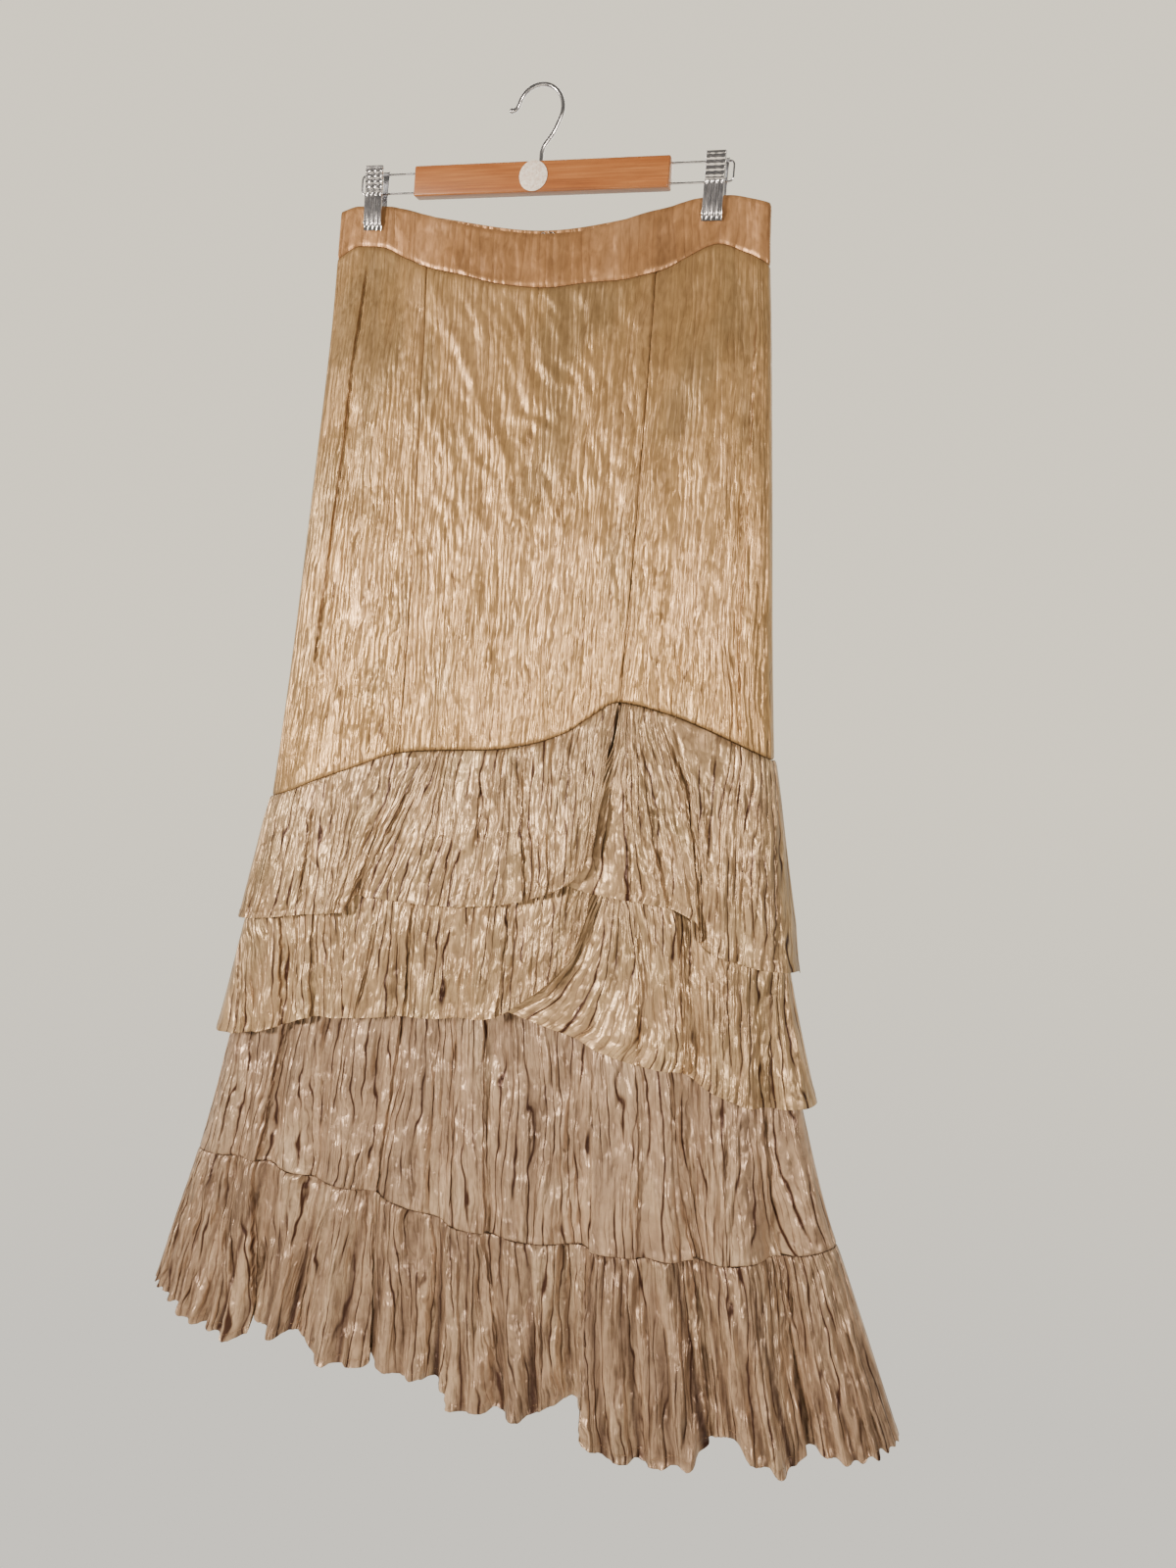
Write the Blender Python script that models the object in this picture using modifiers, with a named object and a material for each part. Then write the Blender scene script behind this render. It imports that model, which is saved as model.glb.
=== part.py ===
"""Ruffled maxi skirt hanging from its clip hanger, front towards -Y.

The origin is where the hanger's hook bears on whatever holds it: X runs
along the bar, Z is up and +Y points at the wall behind. Tables are in
millimetres, the model is in metres.
"""
import bmesh
import bpy
import numpy as np
from collections import namedtuple
from math import cos, pi, radians, sin
from mathutils import Matrix, Vector

MM = 0.001
GAP = 0.3               # between pieces that touch
CLOTH = 1.2             # thickness of the satin wall
BAND_CLOTH = 1.6        # the waistband is two layers and an interlining

# Hanger
BAR_LENGTH, BAR_HEIGHT, BAR_DEPTH = 240.0, 26.6, 12.0
BAR_Z = -78.5           # middle of the bar below the hook's bearing point
BAR_ROUND = 1.2
HOOK_WIRE = 4.0
HOOK_LOOP = 21.0        # radius of the hook's loop, to the wire's middle
STICKER_RADIUS, STICKER_THICK = 13.2, 0.5
RAIL_WIRE = 2.0
RAIL_Z = (-70.0, -87.0)     # the two wires of each rail
RAIL_END = 175.0            # how far out the rails reach
RAIL_CORNER = 4.0
CLIP_X = 160.0
CLIP_WIDTH = 18.0
CLIP_SHEET = 1.0
CLIP_BITE = 2.5         # half the thickness that a clip pinches, of both walls
CLIP_FLAT = 25.0        # the cloth lies flat this far to each side of a clip's middle

# Tube of the skirt: z, the two side edges, how far the side line has
# gone back to the wall, and how far the front and back stand off it
Section = namedtuple("Section", "z left right side front back")
BODY = (
    Section(-95, -194, 209, 0, 13, 9),
    Section(-140, -195, 212, 0, 17, 11),
    Section(-216, -197, 220, 1, 22, 12),
    Section(-346, -205, 233, 2, 28, 12),
    Section(-491, -216, 247, 3, 34, 12),
    Section(-574, -224, 256, 4, 38, 11),
    Section(-655, -233, 265, 5, 42, 10),
    Section(-750, -245, 279, 6, 46, 10),
    Section(-850, -260, 301, 8, 50, 10),
    Section(-910, -271, 319, 9, 53, 11.5),
    Section(-974, -285, 341, 9, 57, 13),
    Section(-1020, -297, 361, 10, 60, 14),
    Section(-1113, -325, 401, 11, 68, 16),
    Section(-1200, -350, 438, 12, 76, 17),
)

# Edges and seams as (x, z)
BAND_TOP = ((-195, -103), (-177, -98), (-145, -99), (-107, -110), (-70, -120), (-29, -128),
            (13, -132), (44, -131), (76, -124), (111, -113), (145, -101), (173, -99), (209, -107))
BAND_TOP_BACK = ((-195, -103), (-145, -99), (-100, -106.5), (7, -120), (110, -107.5), (145, -101),
                 (209, -107))
BAND_SEAM = ((-198, -147), (-173, -134), (-152, -135), (-119, -149), (-95, -159), (-59, -167),
             (-25, -175), (20, -179), (58, -175), (88, -173), (116, -165), (139, -151),
             (168, -139), (190, -146), (212, -157))
BAND_SEAM_BACK = ((-198, -147), (-145, -146), (7, -166), (150, -148), (212, -157))
FIRST_SEAM = ((-241, -661), (-211, -652), (-174, -636), (-140, -622), (-83, -600), (-43, -594),
              (5, -589), (44, -580), (75, -567), (95, -552), (121, -536), (166, -543),
              (199, -553), (256, -575))
FIRST_SEAM_BACK = ((-241, -661), (-100, -640), (20, -622), (130, -602), (256, -575))
TIER_1_HEM_LEFT = ((-272, -788), (-220, -776), (-175, -765), (-139, -757), (-121, -752),
                   (-115, -737), (-95, -736), (-29, -734), (9, -730), (46, -721), (82, -706),
                   (96, -696), (106, -683), (111, -668), (114, -650))
TIER_1_HEM_RIGHT = ((78, -698), (114, -705), (149, -707), (181, -709), (203, -717),
                    (211, -738), (230, -747), (252, -753), (267, -756), (300, -759))
TIER_1_HEM_BACK = ((-272, -788), (-100, -790), (20, -782), (150, -770), (300, -759))
TIER_2_SEAM = ((-250, -722), (-150, -692), (-60, -676), (20, -670), (115, -650), (180, -655),
               (230, -685), (278, -695))
TIER_2_SEAM_BACK = ((-250, -722), (20, -712), (278, -695))
TIER_2_HEM_LEFT = ((-290, -908), (-256, -896), (-217, -887), (-181, -875), (-151, -862),
                   (-118, -855), (-59, -843), (-7, -836), (34, -828), (62, -808), (83, -789),
                   (99, -766), (107, -742), (112, -722))
TIER_2_HEM_RIGHT = ((18, -818), (69, -825), (94, -831), (124, -838), (172, -850), (203, -852),
                    (212, -856), (242, -866), (274, -873), (304, -870), (325, -866))
TIER_2_HEM_BACK = ((-290, -908), (-100, -915), (20, -910), (150, -890), (325, -866))
RUFFLE_SEAM = ((-306, -1036), (-200, -1022), (-80, -1022), (20, -1034), (150, -1030),
               (250, -1024), (356, -1000))
HEM = ((-348, -1192), (-290, -1206), (-235, -1203), (-195, -1190), (-100, -1191), (0, -1194),
       (60, -1194), (110, -1198), (160, -1206), (280, -1203), (370, -1188), (430, -1163))
HEM_BACK = ((-348, -1192), (-100, -1195), (120, -1196), (430, -1163))

# Upright seams and free edges as (x, z) at their top and bottom
PRINCESS_LEFT = ((-97, -160), (-85, -600))
PRINCESS_RIGHT = ((117, -166), (122, -538))
TIER_1_FREE = ((121, -536), (114, -650))
TIER_2_FREE = ((115, -650), (112, -722))
# Hidden edges of the flounces' right pieces as (x, z)
TIER_1_UNDER = ((123, -536), (120.5, -569), (107, -602), (96, -635), (86, -668), (76, -700))
TIER_2_UNDER = ((117, -650), (114.5, -684), (98, -719), (82, -753), (52, -788), (14, -822))

# Troughs that run down the cloth: x at their top and bottom, how far
# they reach to each side, and how deep they are at the bottom
Trough = namedtuple("Trough", "x_top x_bottom left right depth")
UPPER_TROUGHS = (
    Trough(-158, -176, 7, 9, 3.5),
    Trough(205, 228, 9, 7, 4.5),
    Trough(-60, 30, 14, 20, 3.0),
    Trough(-130, -60, 16, 16, 2.5),
    Trough(60, 40, 16, 20, 3.0),
    Trough(150, 165, 14, 16, 3.0),
)
TIER_1_LEFT_TROUGHS = (
    Trough(-215, -235, 9, 9, 4.0),
    Trough(-172, -170, 8, 10, 4.5),
    Trough(-90, -113, 7, 12, 6.0),
    Trough(-4, 2, 10, 12, 4.0),
    Trough(33, 50, 10, 12, 4.5),
)
TIER_1_RIGHT_TROUGHS = (
    Trough(135, 150, 8, 9, 3.0),
    Trough(148, 183, 8, 9, 3.5),
    Trough(160, 213, 9, 9, 4.0),
    Trough(262, 277, 8, 9, 5.0),
)
TIER_2_LEFT_TROUGHS = (
    Trough(-222, -226, 9, 9, 3.5),
    Trough(-184, -184, 8, 9, 4.5),
    Trough(-148, -150, 8, 9, 4.0),
    Trough(-112, -116, 8, 10, 5.0),
    Trough(-58, -60, 10, 10, 4.5),
    Trough(-8, 0, 10, 10, 3.0),
)
TIER_2_RIGHT_TROUGHS = (
    Trough(140, 142, 10, 10, 3.0),
    Trough(190, 214, 8, 16, 7.0),
    Trough(262, 284, 9, 9, 5.0),
)
# Large folds of the lower skirt, which go on through the hem ruffle:
# x at z = -620, -1020 and -1200
Fold = namedtuple("Fold", "x_top x_seam x_hem left right depth")
LOWER_FOLDS = (
    Fold(-190, -240, -262, 14, 14, 7),
    Fold(-160, -203, -204, 12, 16, 11),
    Fold(-105, -146, -148, 13, 13, 8),
    Fold(-45, -82, -74, 15, 14, 12),
    Fold(-5, -10, 0, 20, 11, 10),
    Fold(30, 42, 62, 10, 14, 7),
    Fold(80, 128, 134, 24, 12, 15),
    Fold(160, 190, 200, 12, 12, 6),
    Fold(185, 232, 274, 13, 17, 15),
    Fold(235, 306, 352, 13, 17, 17),
)
LOWER_FOLDS_BACK = (
    Fold(-150, -190, -210, 24, 24, 6),
    Fold(-60, -70, -80, 24, 24, 6),
    Fold(40, 50, 60, 24, 24, 7),
    Fold(130, 160, 190, 24, 24, 6),
    Fold(200, 260, 310, 24, 24, 6),
)
FOLD_Z = (-1200, -1020, -620)

# Gathers: how many waves go across a piece and how high they stand at
# its lower edge
Gathers = namedtuple("Gathers", "waves height")
TIER_1_LEFT_GATHERS = Gathers(11, 2.6)
TIER_1_RIGHT_GATHERS = Gathers(6, 2.6)
TIER_1_BACK_GATHERS = Gathers(8, 2.0)
TIER_2_LEFT_GATHERS = Gathers(10, 2.6)
TIER_2_RIGHT_GATHERS = Gathers(8, 2.6)
TIER_2_BACK_GATHERS = Gathers(8, 2.0)
LOWER_GATHERS = Gathers(12, 1.6)
LOWER_BACK_GATHERS = Gathers(8, 1.2)
RUFFLE_GATHERS = Gathers(36, 3.6)
RUFFLE_BACK_GATHERS = Gathers(22, 2.4)

# How far a flounce stands off at its hem, and how long a drop takes it there
Flare = namedtuple("Flare", "stand drop")
TIER_1_FLARE = Flare(14.0, 142.0)
TIER_2_FLARE = Flare(13.0, 178.0)
BACK_SHARE = 0.6        # of that, less at the centre back
ROUND_DEPTH = 60.0      # a section this deep is half an ellipse
LOWER_DROP = 2.5        # the lower skirt starts this far below the first seam, under tier 1
RUFFLE_GAP = 0.5        # at the gathered seam
SEAM_LIFT = CLOTH + GAP     # outer face of a flounce over the skirt, at its seam


def curve(points, x):
    """A smooth curve through (x, y) points that never overshoots, straight beyond its ends."""
    px, py = np.array(sorted(points), float).T
    width = np.diff(px)
    slope = np.diff(py) / width
    same_way = slope[:-1] * slope[1:] > 0
    product = np.where(same_way, slope[:-1] * slope[1:], 0.0)
    total = np.where(same_way, slope[:-1] + slope[1:], 1.0)
    tangent = np.concatenate(([slope[0]], 2 * product / total, [slope[-1]]))
    i = np.clip(np.searchsorted(px, x) - 1, 0, len(width) - 1)
    share = (x - px[i]) / width[i]
    s = np.clip(share, 0, 1)
    bend = (s**3 - 2 * s**2 + s) * tangent[i] + (s**3 - s**2) * tangent[i + 1]
    beyond = np.where(share > s, tangent[i + 1], tangent[i]) * (share - s)
    return py[i] * (1 - 3 * s**2 + 2 * s**3) + py[i + 1] * (3 * s**2 - 2 * s**3) \
        + width[i] * (bend + beyond)


def size_at(name, z):
    """One column of the BODY table at height z."""
    return curve([(row.z, getattr(row, name)) for row in BODY], z)


def x_of(across, z):
    """X of a place across the skirt: -1 at its left side seam, 1 at its right one."""
    left, right = size_at("left", z), size_at("right", z)
    return (left + right) / 2 + (right - left) / 2 * np.sin(across * pi / 2)


def across_of(x, z):
    """The place across the skirt where its X is x, at height z."""
    left, right = size_at("left", z), size_at("right", z)
    return np.arcsin(np.clip((2 * x - left - right) / (right - left), -1, 1)) * 2 / pi


def edge_z(points, across):
    """Height of an edge or seam, given as (x, z), at a place across the skirt."""
    z = np.full(np.shape(across), np.mean([point[1] for point in points]))
    for _ in range(4):
        z = curve(points, x_of(across, z))
    return z


def pinch(x, z):
    """1 where a clip holds the band, fading out to its sides and below."""
    beside = np.maximum(np.abs(np.abs(x) - CLIP_X) - CLIP_FLAT, 0) / 20
    below = np.clip((-128 - z) / 130, 0, 1)
    return np.exp(-beside**2) * (1 - below)**2 * (1 + 2 * below)


def skirt(across, z, lift, front):
    """Points of the skirt's tube, moved out by lift, on its front or back.

    A shallow section is boxy and a deep one round, so the fold at the
    side seam never gets tighter than the cloth is thick.
    """
    x = x_of(across, z)
    half = (size_at("right", z) - size_at("left", z)) / 2
    depth = size_at("front" if front else "back", z)
    power = np.clip(depth / ROUND_DEPTH, 0.5, 1)
    aside, ahead = np.sin(across * pi / 2), np.maximum(np.cos(across * pi / 2), 0)
    out_x, out_y = depth * power * aside, half * ahead**(2 - power)
    length = np.hypot(out_x, out_y)
    held = pinch(x, z)
    stand = depth * ahead**power
    stand = stand * (1 - held) + np.minimum(stand, CLIP_BITE) * held + GAP / 2
    stand = stand + lift * out_y / length
    y = size_at("side", z) + (-stand if front else stand)
    return np.stack([x + lift * out_x / length, y, z + 0 * x], axis=-1)


def calm_sides(across):
    """1 over most of the width, 0 at the side seams, where front and back meet."""
    return (1 - np.abs(np.clip(across, -1, 1))**6)**2


def trough_depth(rows, x, down):
    """How deep a piece's troughs are, growing from nothing at its top."""
    total = 0
    for row in rows:
        centre = row.x_top + (row.x_bottom - row.x_top) * down
        reach = np.where(x < centre, row.left, row.right)
        total = total + row.depth * np.exp(-((x - centre) / reach)**2)
    return total * np.clip(down, 0, 1)**0.7


def fold_depth(rows, x, z):
    """How deep the lower skirt's large folds are, growing all the way to the hem."""
    grown = np.clip((-640 - z) / 380, 0, 1.3)
    total = 0
    for row in rows:
        centre = curve(tuple(zip(FOLD_Z, (row.x_hem, row.x_seam, row.x_top))), z)
        reach = np.where(x < centre, row.left, row.right)
        total = total + row.depth * np.exp(-((x - centre) / reach)**2)
    return total * grown**1.2


def wave(along, gathers):
    """Uneven waves across a piece, from -1 to 1."""
    turn = along * gathers.waves * 2 * pi
    return np.sin(turn) * (0.72 + 0.28 * np.sin(0.37 * turn + 1.3))


def lower_lift(across, z, front):
    """Lift of the lower skirt's wall, which the flounces and the ruffle follow."""
    rows = LOWER_FOLDS if front else LOWER_FOLDS_BACK
    return -fold_depth(rows, x_of(across, z), z) * calm_sides(across)


# Each piece below is a function of s, 0 to 1 across it, and v, 0 to 1
# down it, which gives its outer face

def between(start, end, share):
    return start + (end - start) * share


def band_piece(across_left, across_right, top, bottom, front):
    def outer(s, v):
        across = between(across_left, across_right, s)
        z = between(edge_z(top, across), edge_z(bottom, across) + GAP / 2, v)
        return skirt(across, z, 0, front)
    return outer


def upper_piece(left_edge, right_edge, top, bottom, front):
    """A panel between two edges given as (across at its top, across at its bottom)."""
    def outer(s, v):
        across = between(between(*left_edge, v), between(*right_edge, v), s)
        z = between(edge_z(top, across) - GAP / 2, edge_z(bottom, across) + GAP / 2, v)
        x = x_of(across, z)
        ends = np.clip(v, 0, 1) * np.clip(1 - v, 0, 1) * 4
        depth = trough_depth(UPPER_TROUGHS, x, v) * ends if front else 0
        return skirt(across, z, -depth * calm_sides(across), front)
    return outer


def lower_piece(top, bottom, gathers, front):
    def outer(s, v):
        across = between(-1, 1, s)
        z = between(edge_z(top, across) - LOWER_DROP, edge_z(bottom, across) + RUFFLE_GAP / 2, v)
        grown = np.clip((v - 0.45) / 0.35, 0, 1) * np.clip((1 - v) / 0.15, 0, 1)
        waves = wave(s, gathers) * gathers.height * grown * calm_sides(across)
        return skirt(across, z, lower_lift(across, z, front) + waves, front)
    return outer


def ruffle_piece(top, bottom, gathers, front):
    def outer(s, v):
        across = between(-1, 1, s)
        z = between(edge_z(top, across) - RUFFLE_GAP / 2, edge_z(bottom, across), v)
        height = gathers.height * (0.12 + 0.88 * v)
        waves = wave(s, gathers) * height
        return skirt(across, z, lower_lift(across, z, front) + waves * calm_sides(across), front)
    return outer


def flounce_piece(left, right, top, bottom, gathers, troughs, flare, front, under=0.0, lap=False):
    """A flounce over the lower skirt: its lift grows down to its hem.

    left and right give the place across at v. lap is true where its
    right end lies over the next piece, so that its waves die down there,
    and under is how far back the next piece's left end stays below it.
    """
    def outer(s, v):
        across = between(left(v), right(v), s)
        start = edge_z(top, across) - GAP
        z = between(start, edge_z(bottom, across), v)
        x = x_of(across, z)
        down = np.clip(v, 0, 1)
        off = flare.stand * np.clip((start - z) / flare.drop, 0, 1)**0.8
        if not front:
            off = off * (1 - BACK_SHARE * np.cos(across * pi / 2))
        quiet = calm_sides(across)
        if under:
            lapped = np.clip(1 - s / 0.3, 0, 1)
            off = off * (1 - under * lapped * (2 - lapped))
            quiet = quiet * (1 - lapped)
        elif lap:
            quiet = quiet * np.clip((1 - s) / 0.16, 0, 1)
        lift = SEAM_LIFT + off + lower_lift(across, z, front)
        lift = lift + wave(s, gathers) * gathers.height * down * quiet
        return skirt(across, z, lift - trough_depth(troughs, x, v) * quiet, front)
    return outer


def place(model_object, material):
    model_object.data.materials.append(material)
    bpy.data.collections["ruffled_skirt"].objects.link(model_object)
    return model_object


def finish(name, hex_colour, roughness, metallic=0.0):
    material = bpy.data.materials.new(name)
    material.use_nodes = True
    shader = material.node_tree.nodes["Principled BSDF"]
    channels = [int(hex_colour[i:i + 2], 16) / 255 for i in (0, 2, 4)]
    linear = [c / 12.92 if c <= 0.04045 else ((c + 0.055) / 1.055)**2.4 for c in channels]
    shader.inputs["Base Color"].default_value = (*linear, 1)
    shader.inputs["Roughness"].default_value = roughness
    shader.inputs["Metallic"].default_value = metallic
    return material


def wall(name, outer, columns, rows, material, thickness=CLOTH, back=False):
    """A closed wall: a grid on its inner face, extruded out to its outer one.

    columns is how many there are, or the places across where they meet.
    """
    nudge = 1e-3
    stops = np.linspace(0, 1, columns + 1) if isinstance(columns, int) else columns
    columns = len(stops) - 1
    s, v = np.meshgrid(stops, np.linspace(0, 1, rows + 1))
    face = outer(s, v)
    along = outer(s + nudge, v) - outer(s - nudge, v)
    down = outer(s, v + nudge) - outer(s, v - nudge)
    normal = np.cross(down, along)
    normal /= np.linalg.norm(normal, axis=-1, keepdims=True)
    if back:
        normal = -normal
    inner = face - normal * thickness

    mesh = bpy.data.meshes.new(name)
    bm = bmesh.new()
    bmesh.ops.create_grid(bm, x_segments=columns, y_segments=rows, size=0.5)
    cell = bm.verts.layers.int.new("cell")
    for vertex in bm.verts:
        column = round((vertex.co.x + 0.5) * columns)
        row = round((0.5 - vertex.co.y) * rows)
        vertex[cell] = row * (columns + 1) + column
    grown = bmesh.ops.extrude_face_region(bm, geom=bm.faces[:], use_keep_orig=True)["geom"]
    outside = {item for item in grown if isinstance(item, bmesh.types.BMVert)}
    for vertex in bm.verts:
        points = face if vertex in outside else inner
        vertex.co = Vector(points.reshape(-1, 3)[vertex[cell]]) * MM
    if back:
        bmesh.ops.reverse_faces(bm, faces=bm.faces[:])
    bm.to_mesh(mesh)
    bm.free()
    mesh.shade_smooth()
    mesh.set_sharp_from_angle(angle=radians(50))
    return place(bpy.data.objects.new(name, mesh), material)


def cloth_wall(name, outer, columns, rows, colour, thickness=CLOTH, back=False):
    satin = finish(name + "_satin", colour, 0.5)
    return wall(name, outer, columns, rows, satin, thickness, back)


def wire(name, points, diameter, material, cyclic=False):
    """A round wire through points in millimetres."""
    data = bpy.data.curves.new(name, "CURVE")
    data.dimensions = "3D"
    data.bevel_depth = diameter / 2 * MM
    data.bevel_resolution = 2
    data.use_fill_caps = True
    spline = data.splines.new("POLY")
    spline.points.add(len(points) - 1)
    for point, (x, y, z) in zip(spline.points, points):
        point.co = (x * MM, y * MM, z * MM, 1)
    spline.use_cyclic_u = cyclic
    return place(bpy.data.objects.new(name, data), material)


def arc(centre, radius, start, end, steps, y=0.0):
    """Points on an arc in the plane of the hanger, angles in degrees from +X."""
    turns = np.radians(np.linspace(start, end, steps + 1))
    return [(centre[0] + radius * cos(t), y, centre[1] + radius * sin(t)) for t in turns]


def bevelled_box(name, size, centre, bevel, material):
    bpy.ops.mesh.primitive_cube_add(size=1)
    box = bpy.context.object
    box.name = box.data.name = name
    box.data.transform(Matrix.Diagonal((*(side * MM for side in size), 1)))
    box.location = Vector(centre) * MM
    if bevel:
        rounding = box.modifiers.new("rounded edges", "BEVEL")
        rounding.width = bevel * MM
        rounding.segments = 2
    for collection in box.users_collection:
        collection.objects.unlink(box)
    return place(box, material)


def build_bar():
    """The wooden bar, with a bore on top where the hook is screwed in."""
    wood = finish("varnished_wood", "b0743f", 0.4)
    bevelled_box("hanger_bar", (BAR_LENGTH, BAR_DEPTH, BAR_HEIGHT), (0, 0, BAR_Z),
                 BAR_ROUND, wood)


def build_hook():
    """One bent wire: up from the bar, out to the right, over the top and down to a small knob."""
    chrome = finish("chrome_hook", "c8c8cc", 0.15, 1.0)
    bar_top = BAR_Z + BAR_HEIGHT / 2
    loop_x, loop_z = -4.0, HOOK_WIRE / 2 - HOOK_LOOP
    stem = [(0, 0, bar_top + GAP), (0, 0, bar_top + 8), (1.5, 0, bar_top + 14),
            (5, 0, bar_top + 19), (10, 0, bar_top + 26)]
    loop = arc((loop_x, loop_z), HOOK_LOOP, -20, 165, 14)
    tip = [(loop_x - HOOK_LOOP - 2, 0, loop_z + 0.5), (loop_x - HOOK_LOOP - 6, 0, loop_z - 0.5)]
    wire("hanger_hook", stem + loop + tip, HOOK_WIRE, chrome)


def build_sticker():
    """A blank round sticker on the front of the bar."""
    paper = finish("blank_sticker", "e6dccb", 0.35)
    bpy.ops.mesh.primitive_cylinder_add(vertices=24, radius=STICKER_RADIUS * MM,
                                        depth=STICKER_THICK * MM)
    sticker = bpy.context.object
    sticker.name = sticker.data.name = "hanger_sticker"
    sticker.data.transform(Matrix.Rotation(pi / 2, 4, "X"))
    front = -BAR_DEPTH / 2 - GAP - STICKER_THICK / 2
    sticker.location = Vector((-4, front, BAR_Z)) * MM
    for collection in sticker.users_collection:
        collection.objects.unlink(sticker)
    place(sticker, paper)


def build_rails():
    """A wire bent to a long U stands out of each end of the bar and carries a clip."""
    start = BAR_LENGTH / 2 + GAP
    high, low = RAIL_Z
    for side, name in ((-1, "left"), (1, "right")):
        chrome = finish("chrome_rail_" + name, "c0c0c4", 0.2, 1.0)
        corner_x = RAIL_END - RAIL_CORNER
        bend = arc((corner_x, high - RAIL_CORNER), RAIL_CORNER, 90, 0, 4)
        bend += arc((corner_x, low + RAIL_CORNER), RAIL_CORNER, 0, -90, 4)
        points = [(start, 0, high)] + bend + [(start, 0, low)]
        wire("clip_rail_" + name, [(side * x, y, z) for x, y, z in points], RAIL_WIRE, chrome)


# A clip's jaw from its handle to its lip: z and how far it stands off the cloth it grips
JAW = ((-64.5, 4.9), (-72, 4.1), (-84, 3.1), (-92, 2.9), (-104, 2.5), (-113, 1.4), (-117, 0.5),
       (-119.5, 0.5))
RIDGES, RIDGE_DEPTH, RIDGE_END = 5, 0.7, -88.0
FLUTES, FLUTE_DEPTH = 4, 0.6


def jaw_stand(z):
    return curve(JAW, z) + CLIP_BITE


def build_jaw(name, centre, front, columns, rows):
    """A pressed jaw: ridges across its handle and flutes down to its lip."""
    top, bottom = JAW[0][0], JAW[-1][0]

    def outer(s, v):
        z = between(top, bottom, v)
        x = centre + CLIP_WIDTH * (s - 0.5)
        ridge = np.cos((z - top) / (RIDGE_END - top) * RIDGES * 2 * pi) * RIDGE_DEPTH
        flute = np.cos(s * FLUTES * 2 * pi) * FLUTE_DEPTH
        relief = np.where(z > RIDGE_END, ridge, flute) if front else 0 * s
        flat = np.clip((z - bottom) / 6, 0, 1) * np.clip((top - z) / 2, 0, 1)
        y = jaw_stand(z) + CLIP_SHEET + relief * flat
        return np.stack([x, -y if front else y, z], axis=-1)

    chrome = finish("chrome_" + name, "d0d0d4", 0.15, 1.0)
    wall(name, outer, columns, rows, chrome, CLIP_SHEET, back=not front)


def build_spring(name, centre):
    """The clip's spring, a sleeve round the rail's lower wire."""
    chrome = finish("chrome_" + name, "a8a8ac", 0.3, 1.0)
    inner, length = RAIL_WIRE / 2 + GAP, CLIP_WIDTH * 0.6
    outer = jaw_stand(RAIL_Z[1]) - RIDGE_DEPTH - GAP
    data = bpy.data.meshes.new(name)
    data.from_pydata([(x * MM, 0, r * MM) for x, r in
                      ((length / 2, inner), (length / 2, outer),
                       (-length / 2, outer), (-length / 2, inner))],
                     [(0, 1), (1, 2), (2, 3), (3, 0)], [])
    spring = place(bpy.data.objects.new(name, data), chrome)
    spring.location = Vector((centre, 0, RAIL_Z[1])) * MM
    turned = spring.modifiers.new("turned", "SCREW")
    turned.axis = "X"
    turned.steps = turned.render_steps = 16
    turned.use_merge_vertices = True
    turned.merge_threshold = 1e-5


def build_clips():
    for side, name in ((-1, "left"), (1, "right")):
        centre = side * CLIP_X
        build_jaw("clip_jaw_front_" + name, centre, True, 2 * FLUTES, 14)
        build_jaw("clip_jaw_back_" + name, centre, False, 2, 7)
        build_spring("clip_spring_" + name, centre)


HOOK_AND_EYE = (16.0, 1.0, 5.0)
HOOK_AND_EYE_DROP = 4.0         # its middle below the band's top
PANEL_COLUMNS = (10, 14, 10)    # of the three front panels
BACK_COLUMNS = 12
SEAM_HALF = GAP / 2 / 190       # half the gap of an upright seam, as a share across


def princess_seams():
    """Each princess seam as its place across at the waistband and at the first seam."""
    return [[across_of(x, z) for x, z in seam] for seam in (PRINCESS_LEFT, PRINCESS_RIGHT)]


def build_waistband():
    """The band's columns meet the panels' columns, so that the two edges run side by side."""
    colour = "c09a78"
    left, right = princess_seams()
    ends = (-1, left[0], right[0], 1)
    stops = [-1.0]
    for start, end, count in zip(ends, ends[1:], PANEL_COLUMNS):
        stops += [between(start, end, (i + 1) / count) for i in range(count)]
    stops = (np.array(stops) + 1) / 2
    cloth_wall("waistband_front", band_piece(-1, 1, BAND_TOP, BAND_SEAM, True), stops, 2, colour,
               BAND_CLOTH)
    for name, ends in (("left", (-1, -SEAM_HALF)), ("right", (SEAM_HALF, 1))):
        cloth_wall("waistband_back_" + name,
                   band_piece(*ends, BAND_TOP_BACK, BAND_SEAM_BACK, False), BACK_COLUMNS, 2,
                   colour, BAND_CLOTH, back=True)


def build_hook_and_eye():
    """The fastening inside the top of the centre-back opening."""
    steel = finish("steel_hook_and_eye", "b0a89c", 0.4, 1.0)
    width, depth, height = HOOK_AND_EYE
    z = edge_z(BAND_TOP_BACK, np.array(0.0)) - HOOK_AND_EYE_DROP
    inner_face = size_at("back", z) + GAP / 2 - BAND_CLOTH
    bevelled_box("hook_and_eye", (width, depth, height),
                 (x_of(0.0, z), inner_face - GAP - depth / 2, z), 0.3, steel)


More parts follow.
